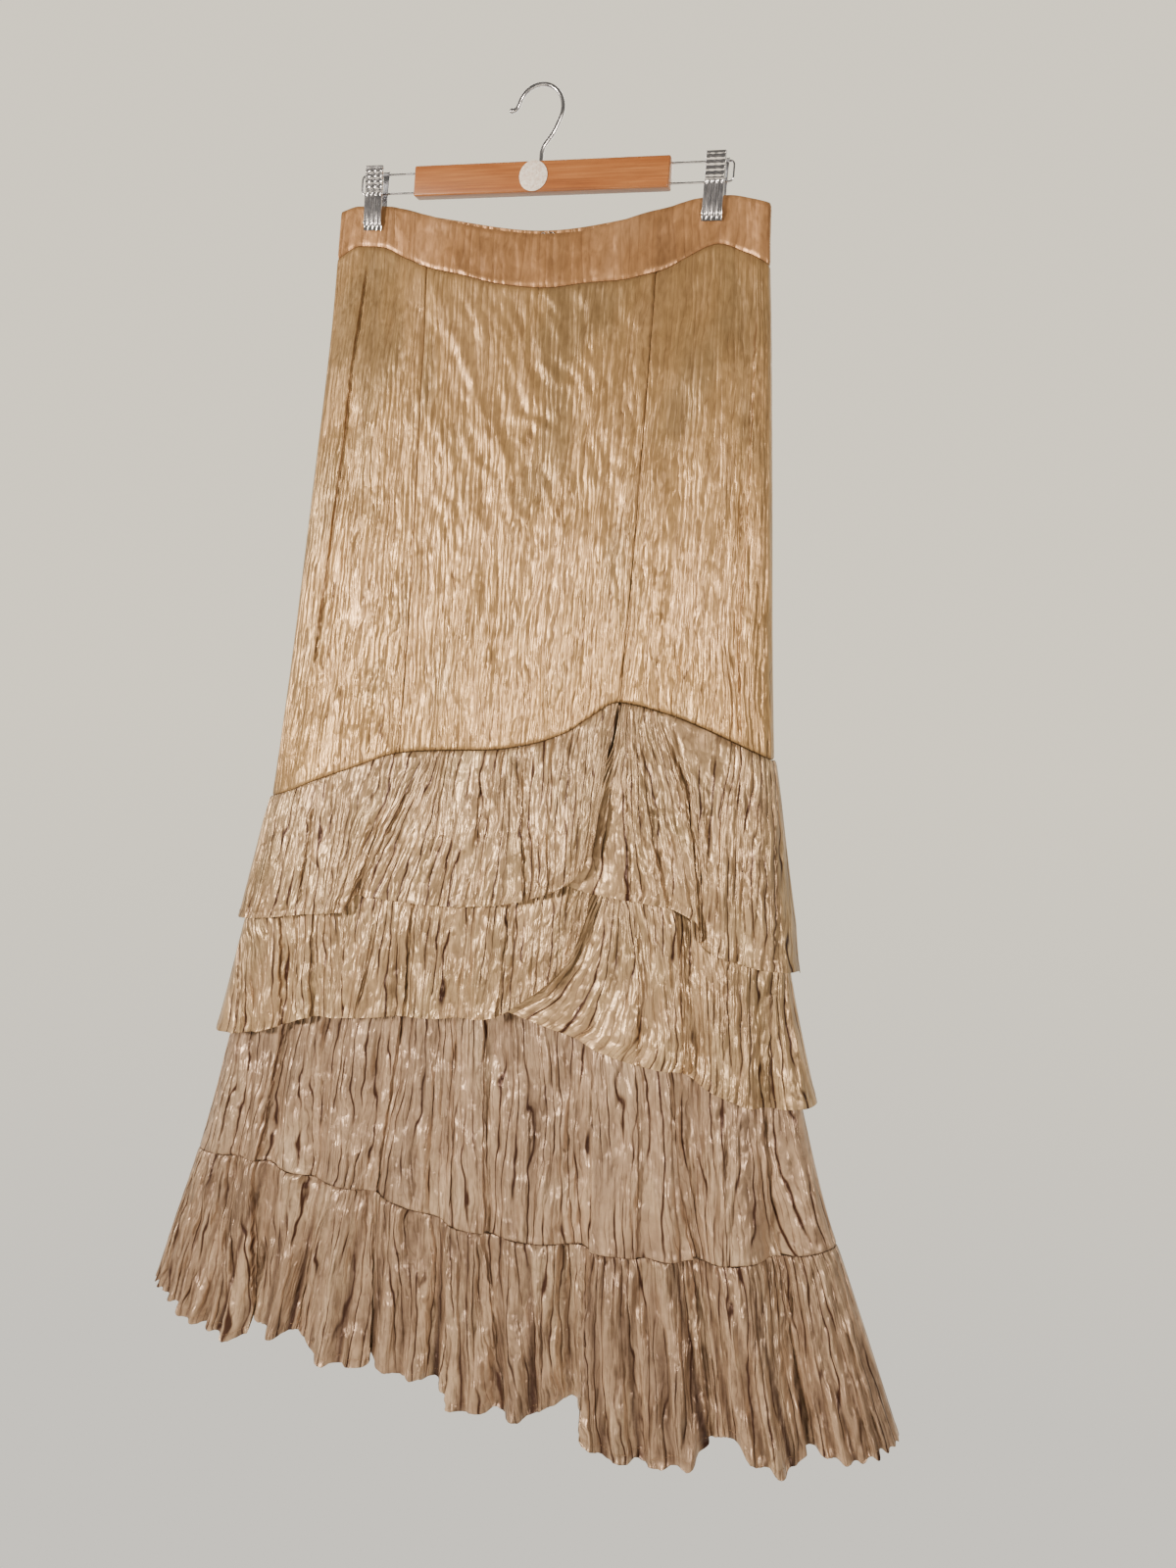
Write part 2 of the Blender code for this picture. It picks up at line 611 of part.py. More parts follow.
def build_upper_skirt():
    colour = "b8966c"
    seam_left, seam_right = princess_seams()

    def shifted(seam, amount):
        return tuple(place_across + amount for place_across in seam)

    names = ("skirt_front_left", "skirt_front_centre", "skirt_front_right")
    edges = (((-1, -1), shifted(seam_left, -SEAM_HALF)),
             (shifted(seam_left, SEAM_HALF), shifted(seam_right, -SEAM_HALF)),
             (shifted(seam_right, SEAM_HALF), (1, 1)))
    for name, (left, right), columns in zip(names, edges, PANEL_COLUMNS):
        cloth_wall(name, upper_piece(left, right, BAND_SEAM, FIRST_SEAM, True), columns, 12,
                   colour)
    for name, left, right in (("skirt_back_left", (-1, -1), (-SEAM_HALF, -SEAM_HALF)),
                              ("skirt_back_right", (SEAM_HALF, SEAM_HALF), (1, 1))):
        cloth_wall(name, upper_piece(left, right, BAND_SEAM_BACK, FIRST_SEAM_BACK, False),
                   BACK_COLUMNS, 8, colour, back=True)


def build_lower_skirt():
    colour = "a08868"
    cloth_wall("lower_skirt_front", lower_piece(FIRST_SEAM, RUFFLE_SEAM, LOWER_GATHERS, True),
               4 * LOWER_GATHERS.waves, 8, colour)
    cloth_wall("lower_skirt_back",
               lower_piece(FIRST_SEAM_BACK, RUFFLE_SEAM, LOWER_BACK_GATHERS, False),
               4 * LOWER_BACK_GATHERS.waves, 8, colour, back=True)


def build_hem_ruffle():
    colour = "9c8466"
    cloth_wall("hem_ruffle_front", ruffle_piece(RUFFLE_SEAM, HEM, RUFFLE_GATHERS, True),
               4 * RUFFLE_GATHERS.waves, 3, colour)
    cloth_wall("hem_ruffle_back", ruffle_piece(RUFFLE_SEAM, HEM_BACK, RUFFLE_BACK_GATHERS, False),
               4 * RUFFLE_BACK_GATHERS.waves, 3, colour, back=True)


def side_edge(across):
    return lambda v: across + 0 * v


def free_edge(top, bottom):
    """An edge that runs from one (x, z) to another."""
    start, end = across_of(*top), across_of(*bottom)
    return lambda v: between(start, end, v)


def hidden_edge(points):
    """An edge that follows (x, z) points down a piece."""
    top, bottom = points[0][1], points[-1][1]
    by_height = [(z, x) for x, z in points]

    def place_across(v):
        z = between(float(top), float(bottom), v)
        return across_of(curve(by_height, z), z)
    return place_across


def build_flounces():
    colour = "ab8f6c"
    cloth_wall("tier_1_front_left", flounce_piece(
        side_edge(-1), free_edge(*TIER_1_FREE), FIRST_SEAM, TIER_1_HEM_LEFT,
        TIER_1_LEFT_GATHERS, TIER_1_LEFT_TROUGHS, TIER_1_FLARE, True, lap=True), 44, 4, colour)
    cloth_wall("tier_1_front_right", flounce_piece(
        hidden_edge(TIER_1_UNDER), side_edge(1), FIRST_SEAM, TIER_1_HEM_RIGHT,
        TIER_1_RIGHT_GATHERS, TIER_1_RIGHT_TROUGHS, TIER_1_FLARE, True, under=0.45), 28, 5, colour)
    cloth_wall("tier_1_back", flounce_piece(
        side_edge(-1), side_edge(1), FIRST_SEAM_BACK, TIER_1_HEM_BACK,
        TIER_1_BACK_GATHERS, (), TIER_1_FLARE, False), 32, 3, colour, back=True)
    cloth_wall("tier_2_front_left", flounce_piece(
        side_edge(-1), free_edge(*TIER_2_FREE), TIER_2_SEAM, TIER_2_HEM_LEFT,
        TIER_2_LEFT_GATHERS, TIER_2_LEFT_TROUGHS, TIER_2_FLARE, True, lap=True), 40, 4, colour)
    cloth_wall("tier_2_front_right", flounce_piece(
        hidden_edge(TIER_2_UNDER), side_edge(1), TIER_2_SEAM, TIER_2_HEM_RIGHT,
        TIER_2_RIGHT_GATHERS, TIER_2_RIGHT_TROUGHS, TIER_2_FLARE, True, under=0.6), 32, 5, colour)
    cloth_wall("tier_2_back", flounce_piece(
        side_edge(-1), side_edge(1), TIER_2_SEAM_BACK, TIER_2_HEM_BACK,
        TIER_2_BACK_GATHERS, (), TIER_2_FLARE, False), 32, 3, colour, back=True)


def build():
    for leftover in list(bpy.data.objects):
        bpy.data.objects.remove(leftover)
    bpy.context.scene.collection.children.link(bpy.data.collections.new("ruffled_skirt"))
    build_bar()
    build_hook()
    build_sticker()
    build_rails()
    build_clips()
    build_waistband()
    build_hook_and_eye()
    build_upper_skirt()
    build_lower_skirt()
    build_flounces()
    build_hem_ruffle()


build()
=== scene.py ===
# %% [markdown]
# # A ruffled satin maxi skirt on a clip hanger
# A long skirt of crinkled champagne satin hangs by its waistband from the
# two clips of a small wooden hanger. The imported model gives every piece's
# size and place. These cells give each piece its real surface: the thin
# cloth with its crinkles, creases, gathers and hems, and the varnished
# wood and chrome of the hanger.

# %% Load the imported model
from collections import namedtuple
from math import cos, pi, radians, sin

import bmesh
import bpy
import numpy as np
from mathutils import Matrix, Vector


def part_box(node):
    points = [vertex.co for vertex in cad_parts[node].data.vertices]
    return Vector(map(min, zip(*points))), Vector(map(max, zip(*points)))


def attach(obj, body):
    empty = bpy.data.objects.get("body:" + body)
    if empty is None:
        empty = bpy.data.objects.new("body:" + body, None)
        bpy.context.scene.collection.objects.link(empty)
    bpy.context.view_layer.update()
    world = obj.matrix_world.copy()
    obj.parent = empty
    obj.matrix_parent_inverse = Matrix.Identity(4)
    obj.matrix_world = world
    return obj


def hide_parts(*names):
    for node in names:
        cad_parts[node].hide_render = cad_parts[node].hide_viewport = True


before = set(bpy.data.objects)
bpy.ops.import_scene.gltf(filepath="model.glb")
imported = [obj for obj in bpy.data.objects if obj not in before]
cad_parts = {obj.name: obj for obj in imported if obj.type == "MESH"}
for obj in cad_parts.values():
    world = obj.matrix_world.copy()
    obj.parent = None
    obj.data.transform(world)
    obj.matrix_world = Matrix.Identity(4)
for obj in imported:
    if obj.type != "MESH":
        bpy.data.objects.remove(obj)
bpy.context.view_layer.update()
MM = 0.001
print("packed nodes:", len(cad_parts))

# %% [markdown]
# ## The camera
# The camera stands where it stood for the picture: a little to the right of
# the skirt, level with its upper part and close enough that the hem spreads.
# Its three directions are written out, because it is also tilted a little,
# which a simple look-at would lose.

# %% Camera
CAMERA_PLACE = Vector((0.3869, -1.0302, -0.5109))
CAMERA_RIGHT = Vector((0.95562, 0.28334, 0.08067))
CAMERA_UP = Vector((-0.10415, 0.06877, 0.99218))
IMAGE_HEIGHT, FOCAL_PIXELS, SENSOR = 1600, 1202, 24.0


def in_scene(name, data):
    """A new object that holds the data, linked to the scene."""
    made = bpy.data.objects.new(name, data)
    bpy.context.scene.collection.objects.link(made)
    return made


camera_data = bpy.data.cameras.new("camera")
camera_data.sensor_fit = "VERTICAL"
camera_data.sensor_height = SENSOR
camera_data.lens = FOCAL_PIXELS / IMAGE_HEIGHT * SENSOR
camera = in_scene("camera", camera_data)
towards_camera = CAMERA_RIGHT.cross(CAMERA_UP)
turned = Matrix((CAMERA_RIGHT, CAMERA_UP, towards_camera)).transposed()
camera.matrix_world = Matrix.Translation(CAMERA_PLACE) @ turned.to_4x4()
bpy.context.scene.camera = camera
print("lens", round(camera_data.lens, 2), "mm")

# %% [markdown]
# ## Materials from nodes
# A material is a small graph of nodes. One helper adds a node with its
# settings and its inputs, whether an input is a plain value or comes from
# another node. Colours are picked as hex values, as in any paint program,
# and one function turns them to the linear values that Blender works in.

# %% Node and colour helpers
def linear(hex_colour, alpha=1.0):
    channels = [int(hex_colour[i:i + 2], 16) / 255 for i in (0, 2, 4)]
    return (*[c / 12.92 if c <= 0.04045 else ((c + 0.055) / 1.055)**2.4 for c in channels], alpha)


def add(tree, kind, inputs=None, **settings):
    """A node with its settings, and its inputs by name or number."""
    made = tree.nodes.new("ShaderNode" + kind)
    for name, value in settings.items():
        setattr(made, name, value)
    for key, value in (inputs or {}).items():
        if isinstance(value, bpy.types.NodeSocket):
            tree.links.new(value, made.inputs[key])
        else:
            made.inputs[key].default_value = value
    return made


def new_material(name, **shader_values):
    """A material with a Principled shader and plain values on its sockets."""
    material = bpy.data.materials.new(name)
    material.use_nodes = True
    shader = material.node_tree.nodes["Principled BSDF"]
    for key, value in shader_values.items():
        shader.inputs[key.replace("_", " ")].default_value = value
    return material, material.node_tree, shader


def ramp(tree, factor, *stops):
    """A colour ramp through (place, hex colour) stops."""
    made = add(tree, "ValToRGB", {0: factor})
    elements = made.color_ramp.elements
    while len(elements) < len(stops):
        elements.new(0.5)
    for element, (place, colour) in zip(elements, stops):
        element.position = place
        element.color = linear(colour)
    return made.outputs[0]


def blend_colours(tree, factor, first, second, kind="MIX"):
    made = add(tree, "Mix", {0: factor, 6: first, 7: second}, data_type="RGBA", blend_type=kind)
    return made.outputs[2]


def patterned(tree, coordinates, size_mm, detail=2.0, seed=0.0, distortion=0.0):
    """Noise whose blots have a real size in millimetres: across, down and through."""
    scaled = add(tree, "Mapping", {0: coordinates, 3: [1 / (side * MM) for side in size_mm],
                                   1: (seed, seed * 1.7, seed * 0.6)})
    made = add(tree, "TexNoise", {0: scaled.outputs[0], "Scale": 1.0, "Detail": detail,
                                  "Distortion": distortion})
    return made.outputs[0]


def spread(tree, value, low, high, new_low=0.0, new_high=1.0):
    made = add(tree, "MapRange", {0: value, 1: low, 2: high, 3: new_low, 4: new_high})
    return made.outputs[0]


print("white is", linear("ffffff")[:3])

# %% [markdown]
# ## Crinkled satin
# Satin has long loose threads on its face, which lie side by side and shine
# in the thread's own colour. That is why the shader takes a little metallic
# value: its highlights are champagne and not white. This satin was washed
# and wrung, so it is full of fine upright crinkles. The larger ones are in
# the mesh. The small pleats between them, 2 to 10 mm apart, are bump here,
# with painted shade in their valleys. They are drawn along the cloth's own
# UV map, whose unit is the metre, and on the upper skirt they fade towards
# the waist. The swellings, mottle and threads in the bump are painted lighter
# where it raises them and darker where it sinks: painted highlight and shade.
# An attribute on the mesh holds painted shade: how deep a point lies in a
# crease, a seam, a hem or a gather, where the cloth is painted darker and
# browner. Real threads are far finer than the 1.1 mm drawn here, which is as
# coarse as they need to be to show.

# %% Satin materials
# the fourth colour is that of the painted shade in creases; after crinkle come the share of
# brightness kept at the top of a panel, whose colour is darker towards the waist, calm the
# crinkle's share there, and size the width and length in mm of a swelling of the cloth
Satin = namedtuple("Satin", "cool mid warm crease roughness shine crinkle dusk calm size seed")
PLEAT_SHARE, STRAND_SHARE = 1.15, 0.5       # spacing of both against the swelling's width
FADE_FROM, FADE_TO = -0.42, -0.02           # metres down a panel
BUMP_DEPTH = 7 * MM
SATINS = {
    "band_satin": Satin("9f774f", "b3865a", "c2956a", "6f4a2c", 0.38, 0.42, 0.2, 1.0, 1.0,
                        (9, 34), 3.1),
    "skirt_satin": Satin("b09266", "bf9b69", "caa574", "6b4c2e", 0.36, 0.46, 0.6, 0.84, 0.3,
                         (4.8, 60), 7.7),
    "flounce_satin": Satin("b39975", "c3a580", "d2b68e", "402819", 0.37, 0.45, 1.0, 1.0, 1.0,
                           (8.2, 36), 12.3),
    "lower_satin": Satin("ae957d", "bfa388", "ceb497", "3a2116", 0.38, 0.45, 1.0, 1.0, 1.0,
                         (9.0, 44), 19.9),
}


def satin(name):
    look = SATINS[name]
    material, tree, shader = new_material("crinkled_" + name, Metallic=look.shine, IOR=1.5,
                                          Sheen_Weight=0.12, Sheen_Roughness=0.4,
                                          Sheen_Tint=linear("f0cfae"))
    cloth = add(tree, "TexCoord").outputs["UV"]
    # painted shade of creases, seams, hems and gathers, read from the mesh
    painted_shade = add(tree, "Attribute", attribute_name="painted_shade").outputs["Fac"]
    wide, tall = look.size

    parts = add(tree, "SeparateXYZ", {0: cloth})
    down = parts.outputs["Y"]
    calm = spread(tree, down, FADE_FROM, FADE_TO, 1.0, look.calm)

    def maths(operation, *values):
        return add(tree, "Math", dict(enumerate(values)), operation=operation).outputs[0]

    def times(first, second):
        return maths("MULTIPLY", first, second)

    def plus(first, second):
        return maths("ADD", first, second)

    def pleated(spacing, seed):
        """Long upright hills that wander, 0 in the sharp valleys between them."""
        broad = patterned(tree, cloth, (2.6 * spacing, 14 * spacing, 40), 0.0, look.seed + seed)
        near = patterned(tree, cloth, (1.2 * spacing, 3.5 * spacing, 40), 1.0,
                         look.seed + seed + 1)
        turn = plus(times(parts.outputs["X"], 1 / (spacing * MM)),
                    plus(times(broad, 2.6), times(near, 0.9)))
        return maths("ABSOLUTE", maths("SINE", times(turn, pi)))

    def lined(hills, spacing, seed, strength):
        """A shade that is dark in the valleys, where a valley isn't faded out."""
        kept = patterned(tree, cloth, (2 * spacing, 7 * spacing, 40), 1.0, look.seed + seed)
        line = times(spread(tree, hills, 0.07, 0.36, 1.0, 0.0), spread(tree, kept, 0.38, 0.54))
        return maths("SUBTRACT", 1.0, times(times(line, calm), strength * look.crinkle))

    patches = patterned(tree, cloth, (60, 130, 90), 3.0, look.seed)
    crushed = spread(tree, patterned(tree, cloth, (34, 60, 50), 3.0, look.seed + 5), 0.4, 0.56,
                     0.5, 1.0)
    swell = patterned(tree, cloth, (wide, tall, tall), 0.5, look.seed + 1, 0.3)
    pleat_gap, strand_gap = PLEAT_SHARE * wide, STRAND_SHARE * wide
    pleats, strands = pleated(pleat_gap, 20), pleated(strand_gap, 30)
    mottle = patterned(tree, cloth, (5, 10, 8), 2.0, look.seed + 3, 0.7)
    threads = patterned(tree, cloth, (1.1, 16, 12), 1.0, look.seed + 4)
    colour = ramp(tree, patches, (0.36, look.cool), (0.5, look.mid), (0.66, look.warm))
    # painted highlight and shade: mottle, threads and swellings are painted lighter where the bump
    # raises them and darker where it sinks
    shade = plus(spread(tree, mottle, 0.3, 0.7, 0.84, 1.04),
                 spread(tree, threads, 0.3, 0.7, 0.0, 0.05))
    shade = times(shade, spread(tree, swell, 0.32, 0.68, 1 - 0.2 * look.crinkle,
                                1 + 0.14 * look.crinkle))
    # painted shade in the valleys of the pleats and strands
    shade = times(shade, lined(pleats, pleat_gap, 40, 0.95))
    shade = times(shade, lined(strands, strand_gap, 50, 0.4))
    # the colour is darker towards the top of a panel, down to the share that the satin's table gives
    # there
    shade = times(shade, spread(tree, down, -0.44, 0.0, 1.0, look.dusk))
    # the painted highlight and shade, from a dark brown to white, multiply the colour
    tone = ramp(tree, spread(tree, shade, 0.2, 1.12), (0.0, "4e3222"), (1.0, "ffffff"))
    colour = blend_colours(tree, 1.0, colour, tone, "MULTIPLY")
    # painted shade: the cloth turns to the crease colour where the mesh's attribute says it lies in
    # shade
    colour = blend_colours(tree, painted_shade, colour, linear(look.crease))
    tree.links.new(colour, shader.inputs["Base Color"])
    rough = spread(tree, mottle, 0.3, 0.7, look.roughness - 0.05, look.roughness + 0.08)
    tree.links.new(rough, shader.inputs["Roughness"])
    height = plus(plus(swell, times(pleats, 0.24)), plus(times(strands, 0.06), times(mottle, 0.1)))
    height = plus(times(times(height, crushed), calm), times(threads, 0.02))
    bump = add(tree, "Bump", {"Height": height, "Strength": look.crinkle, "Distance": BUMP_DEPTH})
    tree.links.new(bump.outputs[0], shader.inputs["Normal"])
    return material


satins = {name: satin(name) for name in SATINS}
print("satins:", ", ".join(satins))

# %% [markdown]
# ## The sizes of the skirt
# The skirt hangs almost flat. Its body is a table of sections: at each height,
# where the side edges are and how far the front and back stand off the side
# line. Seams and hems are short tables of x and z, in millimetres from the
# point where the hook bears.

# %% Sizes
Section = namedtuple("Section", "z left right side front back")
BODY = (
    Section(-95, -194, 209, 0, 13, 9),
    Section(-140, -195, 212, 0, 17, 11),
    Section(-216, -197, 220, 1, 22, 12),
    Section(-346, -205, 233, 2, 28, 12),
    Section(-491, -216, 247, 3, 34, 12),
    Section(-574, -224, 256, 4, 38, 11),
    Section(-655, -233, 265, 5, 42, 10),
    Section(-750, -245, 279, 6, 46, 10),
    Section(-850, -260, 301, 8, 50, 10),
    Section(-910, -271, 319, 9, 53, 11.5),
    Section(-974, -285, 341, 9, 57, 13),
    Section(-1020, -297, 361, 10, 60, 14),
    Section(-1113, -325, 401, 11, 68, 16),
    Section(-1200, -350, 438, 12, 76, 17),
)
GAP = 0.3
ROUND_DEPTH = 60.0
CLIP_X, CLIP_FLAT, CLIP_BITE = 160.0, 25.0, 2.5
SHELL = 0.6             # thickness of the shown cloth
BAND_SHELL = 1.2        # the waistband is stiffened

BAND_TOP = ((-195, -103), (-177, -98), (-145, -99), (-107, -110), (-70, -120), (-29, -128),
            (13, -132), (44, -131), (76, -124), (111, -113), (145, -101), (173, -99), (209, -107))
BAND_TOP_BACK = ((-195, -103), (-145, -99), (-100, -106.5), (7, -120), (110, -107.5), (145, -101),
                 (209, -107))
BAND_SEAM = ((-198, -147), (-173, -134), (-152, -135), (-119, -149), (-95, -159), (-59, -167),
             (-25, -175), (20, -179), (58, -175), (88, -173), (116, -165), (139, -151),
             (168, -139), (190, -146), (212, -157))
BAND_SEAM_BACK = ((-198, -147), (-145, -146), (7, -166), (150, -148), (212, -157))
FIRST_SEAM = ((-241, -661), (-211, -652), (-174, -636), (-140, -622), (-83, -600), (-43, -594),
              (5, -589), (44, -580), (75, -567), (95, -552), (121, -536), (166, -543),
              (199, -553), (256, -575))
FIRST_SEAM_BACK = ((-241, -661), (-100, -640), (20, -622), (130, -602), (256, -575))
TIER_1_HEM_LEFT = ((-272, -788), (-220, -776), (-175, -765), (-139, -757), (-121, -752),
                   (-115, -737), (-95, -736), (-29, -734), (9, -730), (46, -721), (82, -706),
                   (96, -696), (106, -683), (111, -668), (114, -650))
TIER_1_HEM_RIGHT = ((78, -698), (114, -705), (149, -707), (181, -709), (203, -717),
                    (211, -738), (230, -747), (252, -753), (267, -756), (300, -759))
TIER_1_HEM_BACK = ((-272, -788), (-100, -790), (20, -782), (150, -770), (300, -759))
TIER_2_SEAM = ((-250, -722), (-150, -692), (-60, -676), (20, -670), (115, -650), (180, -655),
               (230, -685), (278, -695))
TIER_2_SEAM_BACK = ((-250, -722), (20, -712), (278, -695))
TIER_2_HEM_LEFT = ((-290, -908), (-256, -899), (-217, -889), (-181, -873), (-151, -860),
                   (-118, -855), (-59, -843), (-7, -836), (34, -828), (62, -808), (83, -789),
                   (99, -766), (107, -742), (112, -722))
TIER_2_HEM_RIGHT = ((18, -818), (69, -827), (94, -833), (124, -841), (172, -851), (201, -852),
                    (212, -858), (242, -869), (274, -877), (304, -875), (325, -870))
TIER_2_HEM_BACK = ((-290, -908), (-100, -915), (20, -910), (150, -890), (325, -866))
RUFFLE_SEAM = ((-306, -1036), (-200, -1022), (-80, -1022), (20, -1034), (150, -1030),
               (250, -1024), (356, -1000))
# The front hem rises and drops where a fold stands in front of its neighbour
HEM = ((-348, -1186), (-310, -1190), (-279, -1205), (-249, -1202), (-228, -1205), (-211, -1197),
       (-207, -1180), (-172, -1184), (-146, -1174), (-114, -1192), (-74, -1191), (-68, -1179),
       (-28, -1184), (17, -1184), (23, -1200), (64, -1194), (94, -1192), (119, -1179),
       (148, -1171), (154, -1198), (178, -1210), (212, -1208), (246, -1201), (268, -1180),
       (292, -1177), (301, -1189), (338, -1195), (356, -1176), (377, -1179), (400, -1175),
       (430, -1160))
HEM_BACK = ((-348, -1192), (-100, -1195), (120, -1196), (430, -1163))
PRINCESS_LEFT = ((-97, -160), (-85, -600))
PRINCESS_RIGHT = ((117, -166), (122, -538))
TIER_1_FREE = ((121, -536), (114, -650))
TIER_2_FREE = ((115, -650), (112, -722))
TIER_1_UNDER = ((123, -536), (120.5, -569), (107, -602), (96, -635), (86, -668), (76, -700))
TIER_2_UNDER = ((117, -650), (114.5, -684), (98, -719), (82, -753), (52, -788), (14, -822))
print("hem is", BODY[-1].right - BODY[-1].left, "mm wide")

# %% [markdown]
# ## Soft troughs and large folds
# Under the crisp creases the cloth rolls in wide, soft troughs. They are
# Gaussian dips whose middle moves sideways as it goes down. The lower
# skirt's folds run on through the hem ruffle.

# %% Troughs, folds and gathers
Trough = namedtuple("Trough", "x_top x_bottom left right depth")
UPPER_TROUGHS = (
    Trough(-158, -176, 7, 9, 3.5), Trough(205, 228, 9, 7, 4.5), Trough(-60, 30, 14, 20, 3.0),
    Trough(-130, -60, 16, 16, 2.5), Trough(60, 40, 16, 20, 3.0), Trough(150, 165, 14, 16, 3.0),
)
TIER_1_LEFT_TROUGHS = (
    Trough(-215, -235, 9, 9, 4.0), Trough(-172, -170, 8, 10, 4.5), Trough(-90, -113, 7, 12, 6.0),
    Trough(-4, 2, 10, 12, 4.0), Trough(33, 50, 10, 12, 4.5),
)
TIER_1_RIGHT_TROUGHS = (
    Trough(135, 150, 8, 9, 3.0), Trough(148, 183, 8, 9, 3.5), Trough(160, 213, 9, 9, 4.0),
    Trough(262, 277, 8, 9, 5.0),
)
TIER_2_LEFT_TROUGHS = (
    Trough(-222, -226, 9, 9, 3.5), Trough(-184, -184, 8, 9, 4.5), Trough(-148, -150, 8, 9, 4.0),
    Trough(-112, -116, 8, 10, 5.0), Trough(-58, -60, 10, 10, 4.5), Trough(-8, 0, 10, 10, 3.0),
)
TIER_2_RIGHT_TROUGHS = (
    Trough(140, 142, 10, 10, 3.0), Trough(190, 214, 8, 16, 7.0), Trough(262, 284, 9, 9, 5.0),
)
Fold = namedtuple("Fold", "x_top x_seam x_hem left right depth")
LOWER_FOLDS = (
    Fold(-190, -240, -262, 14, 14, 7), Fold(-160, -203, -204, 12, 16, 11),
    Fold(-105, -146, -148, 13, 13, 8), Fold(-45, -82, -74, 15, 14, 12),
    Fold(-5, -10, 0, 20, 11, 10), Fold(30, 42, 62, 10, 14, 7), Fold(80, 128, 134, 24, 12, 15),
    Fold(160, 190, 200, 12, 12, 6), Fold(185, 232, 274, 13, 17, 15),
    Fold(235, 306, 352, 13, 17, 17),
)
LOWER_FOLDS_BACK = (
    Fold(-150, -190, -210, 24, 24, 6), Fold(-60, -70, -80, 24, 24, 6),
    Fold(40, 50, 60, 24, 24, 7), Fold(130, 160, 190, 24, 24, 6), Fold(200, 260, 310, 24, 24, 6),
)
FOLD_Z = (-1200, -1020, -620)

Gathers = namedtuple("Gathers", "waves height")
TIER_1_LEFT_GATHERS, TIER_1_RIGHT_GATHERS = Gathers(11, 2.6), Gathers(6, 2.6)
TIER_2_LEFT_GATHERS, TIER_2_RIGHT_GATHERS = Gathers(10, 2.6), Gathers(8, 2.6)
TIER_1_BACK_GATHERS = TIER_2_BACK_GATHERS = Gathers(8, 2.0)
LOWER_GATHERS, LOWER_BACK_GATHERS = Gathers(12, 1.6), Gathers(8, 1.2)
RUFFLE_GATHERS, RUFFLE_BACK_GATHERS = Gathers(36, 4.2), Gathers(22, 2.4)

Flare = namedtuple("Flare", "stand drop")
TIER_1_FLARE, TIER_2_FLARE = Flare(14.0, 142.0), Flare(13.0, 178.0)
BACK_SHARE = 0.6
LOWER_DROP, RUFFLE_GAP, SEAM_LIFT = 2.5, 0.5, 1.5
print("large folds:", len(LOWER_FOLDS), "in front,", len(LOWER_FOLDS_BACK), "behind")

# %% [markdown]
# ## Creases
# A pressed crease in satin is not a V-shaped groove. One side laps a little
# over the other, like a tiny pleat, and the lap throws a thin dark line,
# which is also painted in as shade. Each row below is such a line: its path
# down the cloth, how high its lip stands, how far it laps (to the right when
# positive) and how far the raised side reaches. The back pieces take some of
# the front's rows, mirrored.

# %% Creases, listed one by one
Crease = namedtuple("Crease", "path height lap reach")
TIER_1_LEFT_CREASES = (
    Crease(((-222, -668), (-226, -725), (-232, -776)), 2.0, -1.5, 9),
    Crease(((-171, -637), (-173, -686), (-176, -735)), 2.2, 2.0, 8),
    Crease(((-151, -629), (-147, -692), (-145, -757)), 2.4, -2.0, 9),
    Crease(((-86, -640), (-103, -686), (-121, -745)), 3.4, 3.0, 10),
    Crease(((-57, -602), (-85, -670), (-108, -733)), 2.6, 2.2, 12),
    Crease(((-37, -600), (-37, -669), (-47, -722)), 1.6, -1.2, 8),
    Crease(((-1, -592), (0, -620), (1, -650)), 1.8, 1.5, 9),
    Crease(((13, -600), (14, -663), (10, -712)), 1.4, -1.2, 8),
    Crease(((37, -583), (43, -650), (51, -712)), 3.0, 2.6, 14),
    Crease(((62, -580), (66, -640), (73, -690)), 1.6, 1.2, 9),
)
TIER_1_RIGHT_CREASES = (
    Crease(((131, -540), (136, -618), (148, -700)), 2.0, 1.6, 8),
    Crease(((140, -545), (160, -640), (180, -706)), 2.6, 2.2, 9),
    Crease(((158, -545), (185, -614), (200, -675), (208, -728)), 5.0, 6.0, 14),
    Crease(((221, -572), (219, -623), (222, -690)), 1.6, -1.4, 9),
    Crease(((246, -580), (250, -640), (252, -700)), 1.4, 1.2, 9),
    Crease(((256, -610), (264, -697), (270, -756)), 2.6, 2.0, 9),
)
TIER_2_LEFT_CREASES = (
    Crease(((-256, -770), (-246, -820), (-238, -894)), 2.6, 2.2, 9),
    Crease(((-205, -740), (-195, -800), (-192, -878)), 2.4, 2.0, 8),
    Crease(((-162, -730), (-157, -815), (-153, -862)), 2.4, 2.2, 8),
    Crease(((-124, -730), (-121, -800), (-120, -857)), 2.2, -1.8, 8),
    Crease(((-92, -730), (-97, -790), (-105, -852)), 2.0, 1.8, 8),
    Crease(((-60, -700), (-59, -790), (-58, -844)), 3.2, 3.0, 10),
    Crease(((-20, -710), (-21, -784), (-22, -838)), 1.4, -1.2, 9),
    Crease(((37, -700), (37, -770), (36, -826)), 3.0, 2.6, 14),
)
TIER_2_RIGHT_CREASES = (
    Crease(((146, -700), (160, -760), (168, -840)), 1.4, 1.2, 9),
    Crease(((183, -690), (196, -770), (207, -854)), 5.5, 5.0, 14),
    Crease(((226, -700), (236, -780), (243, -866)), 1.8, -1.6, 9),
    Crease(((268, -730), (276, -815), (283, -877)), 2.6, 2.2, 9),
)
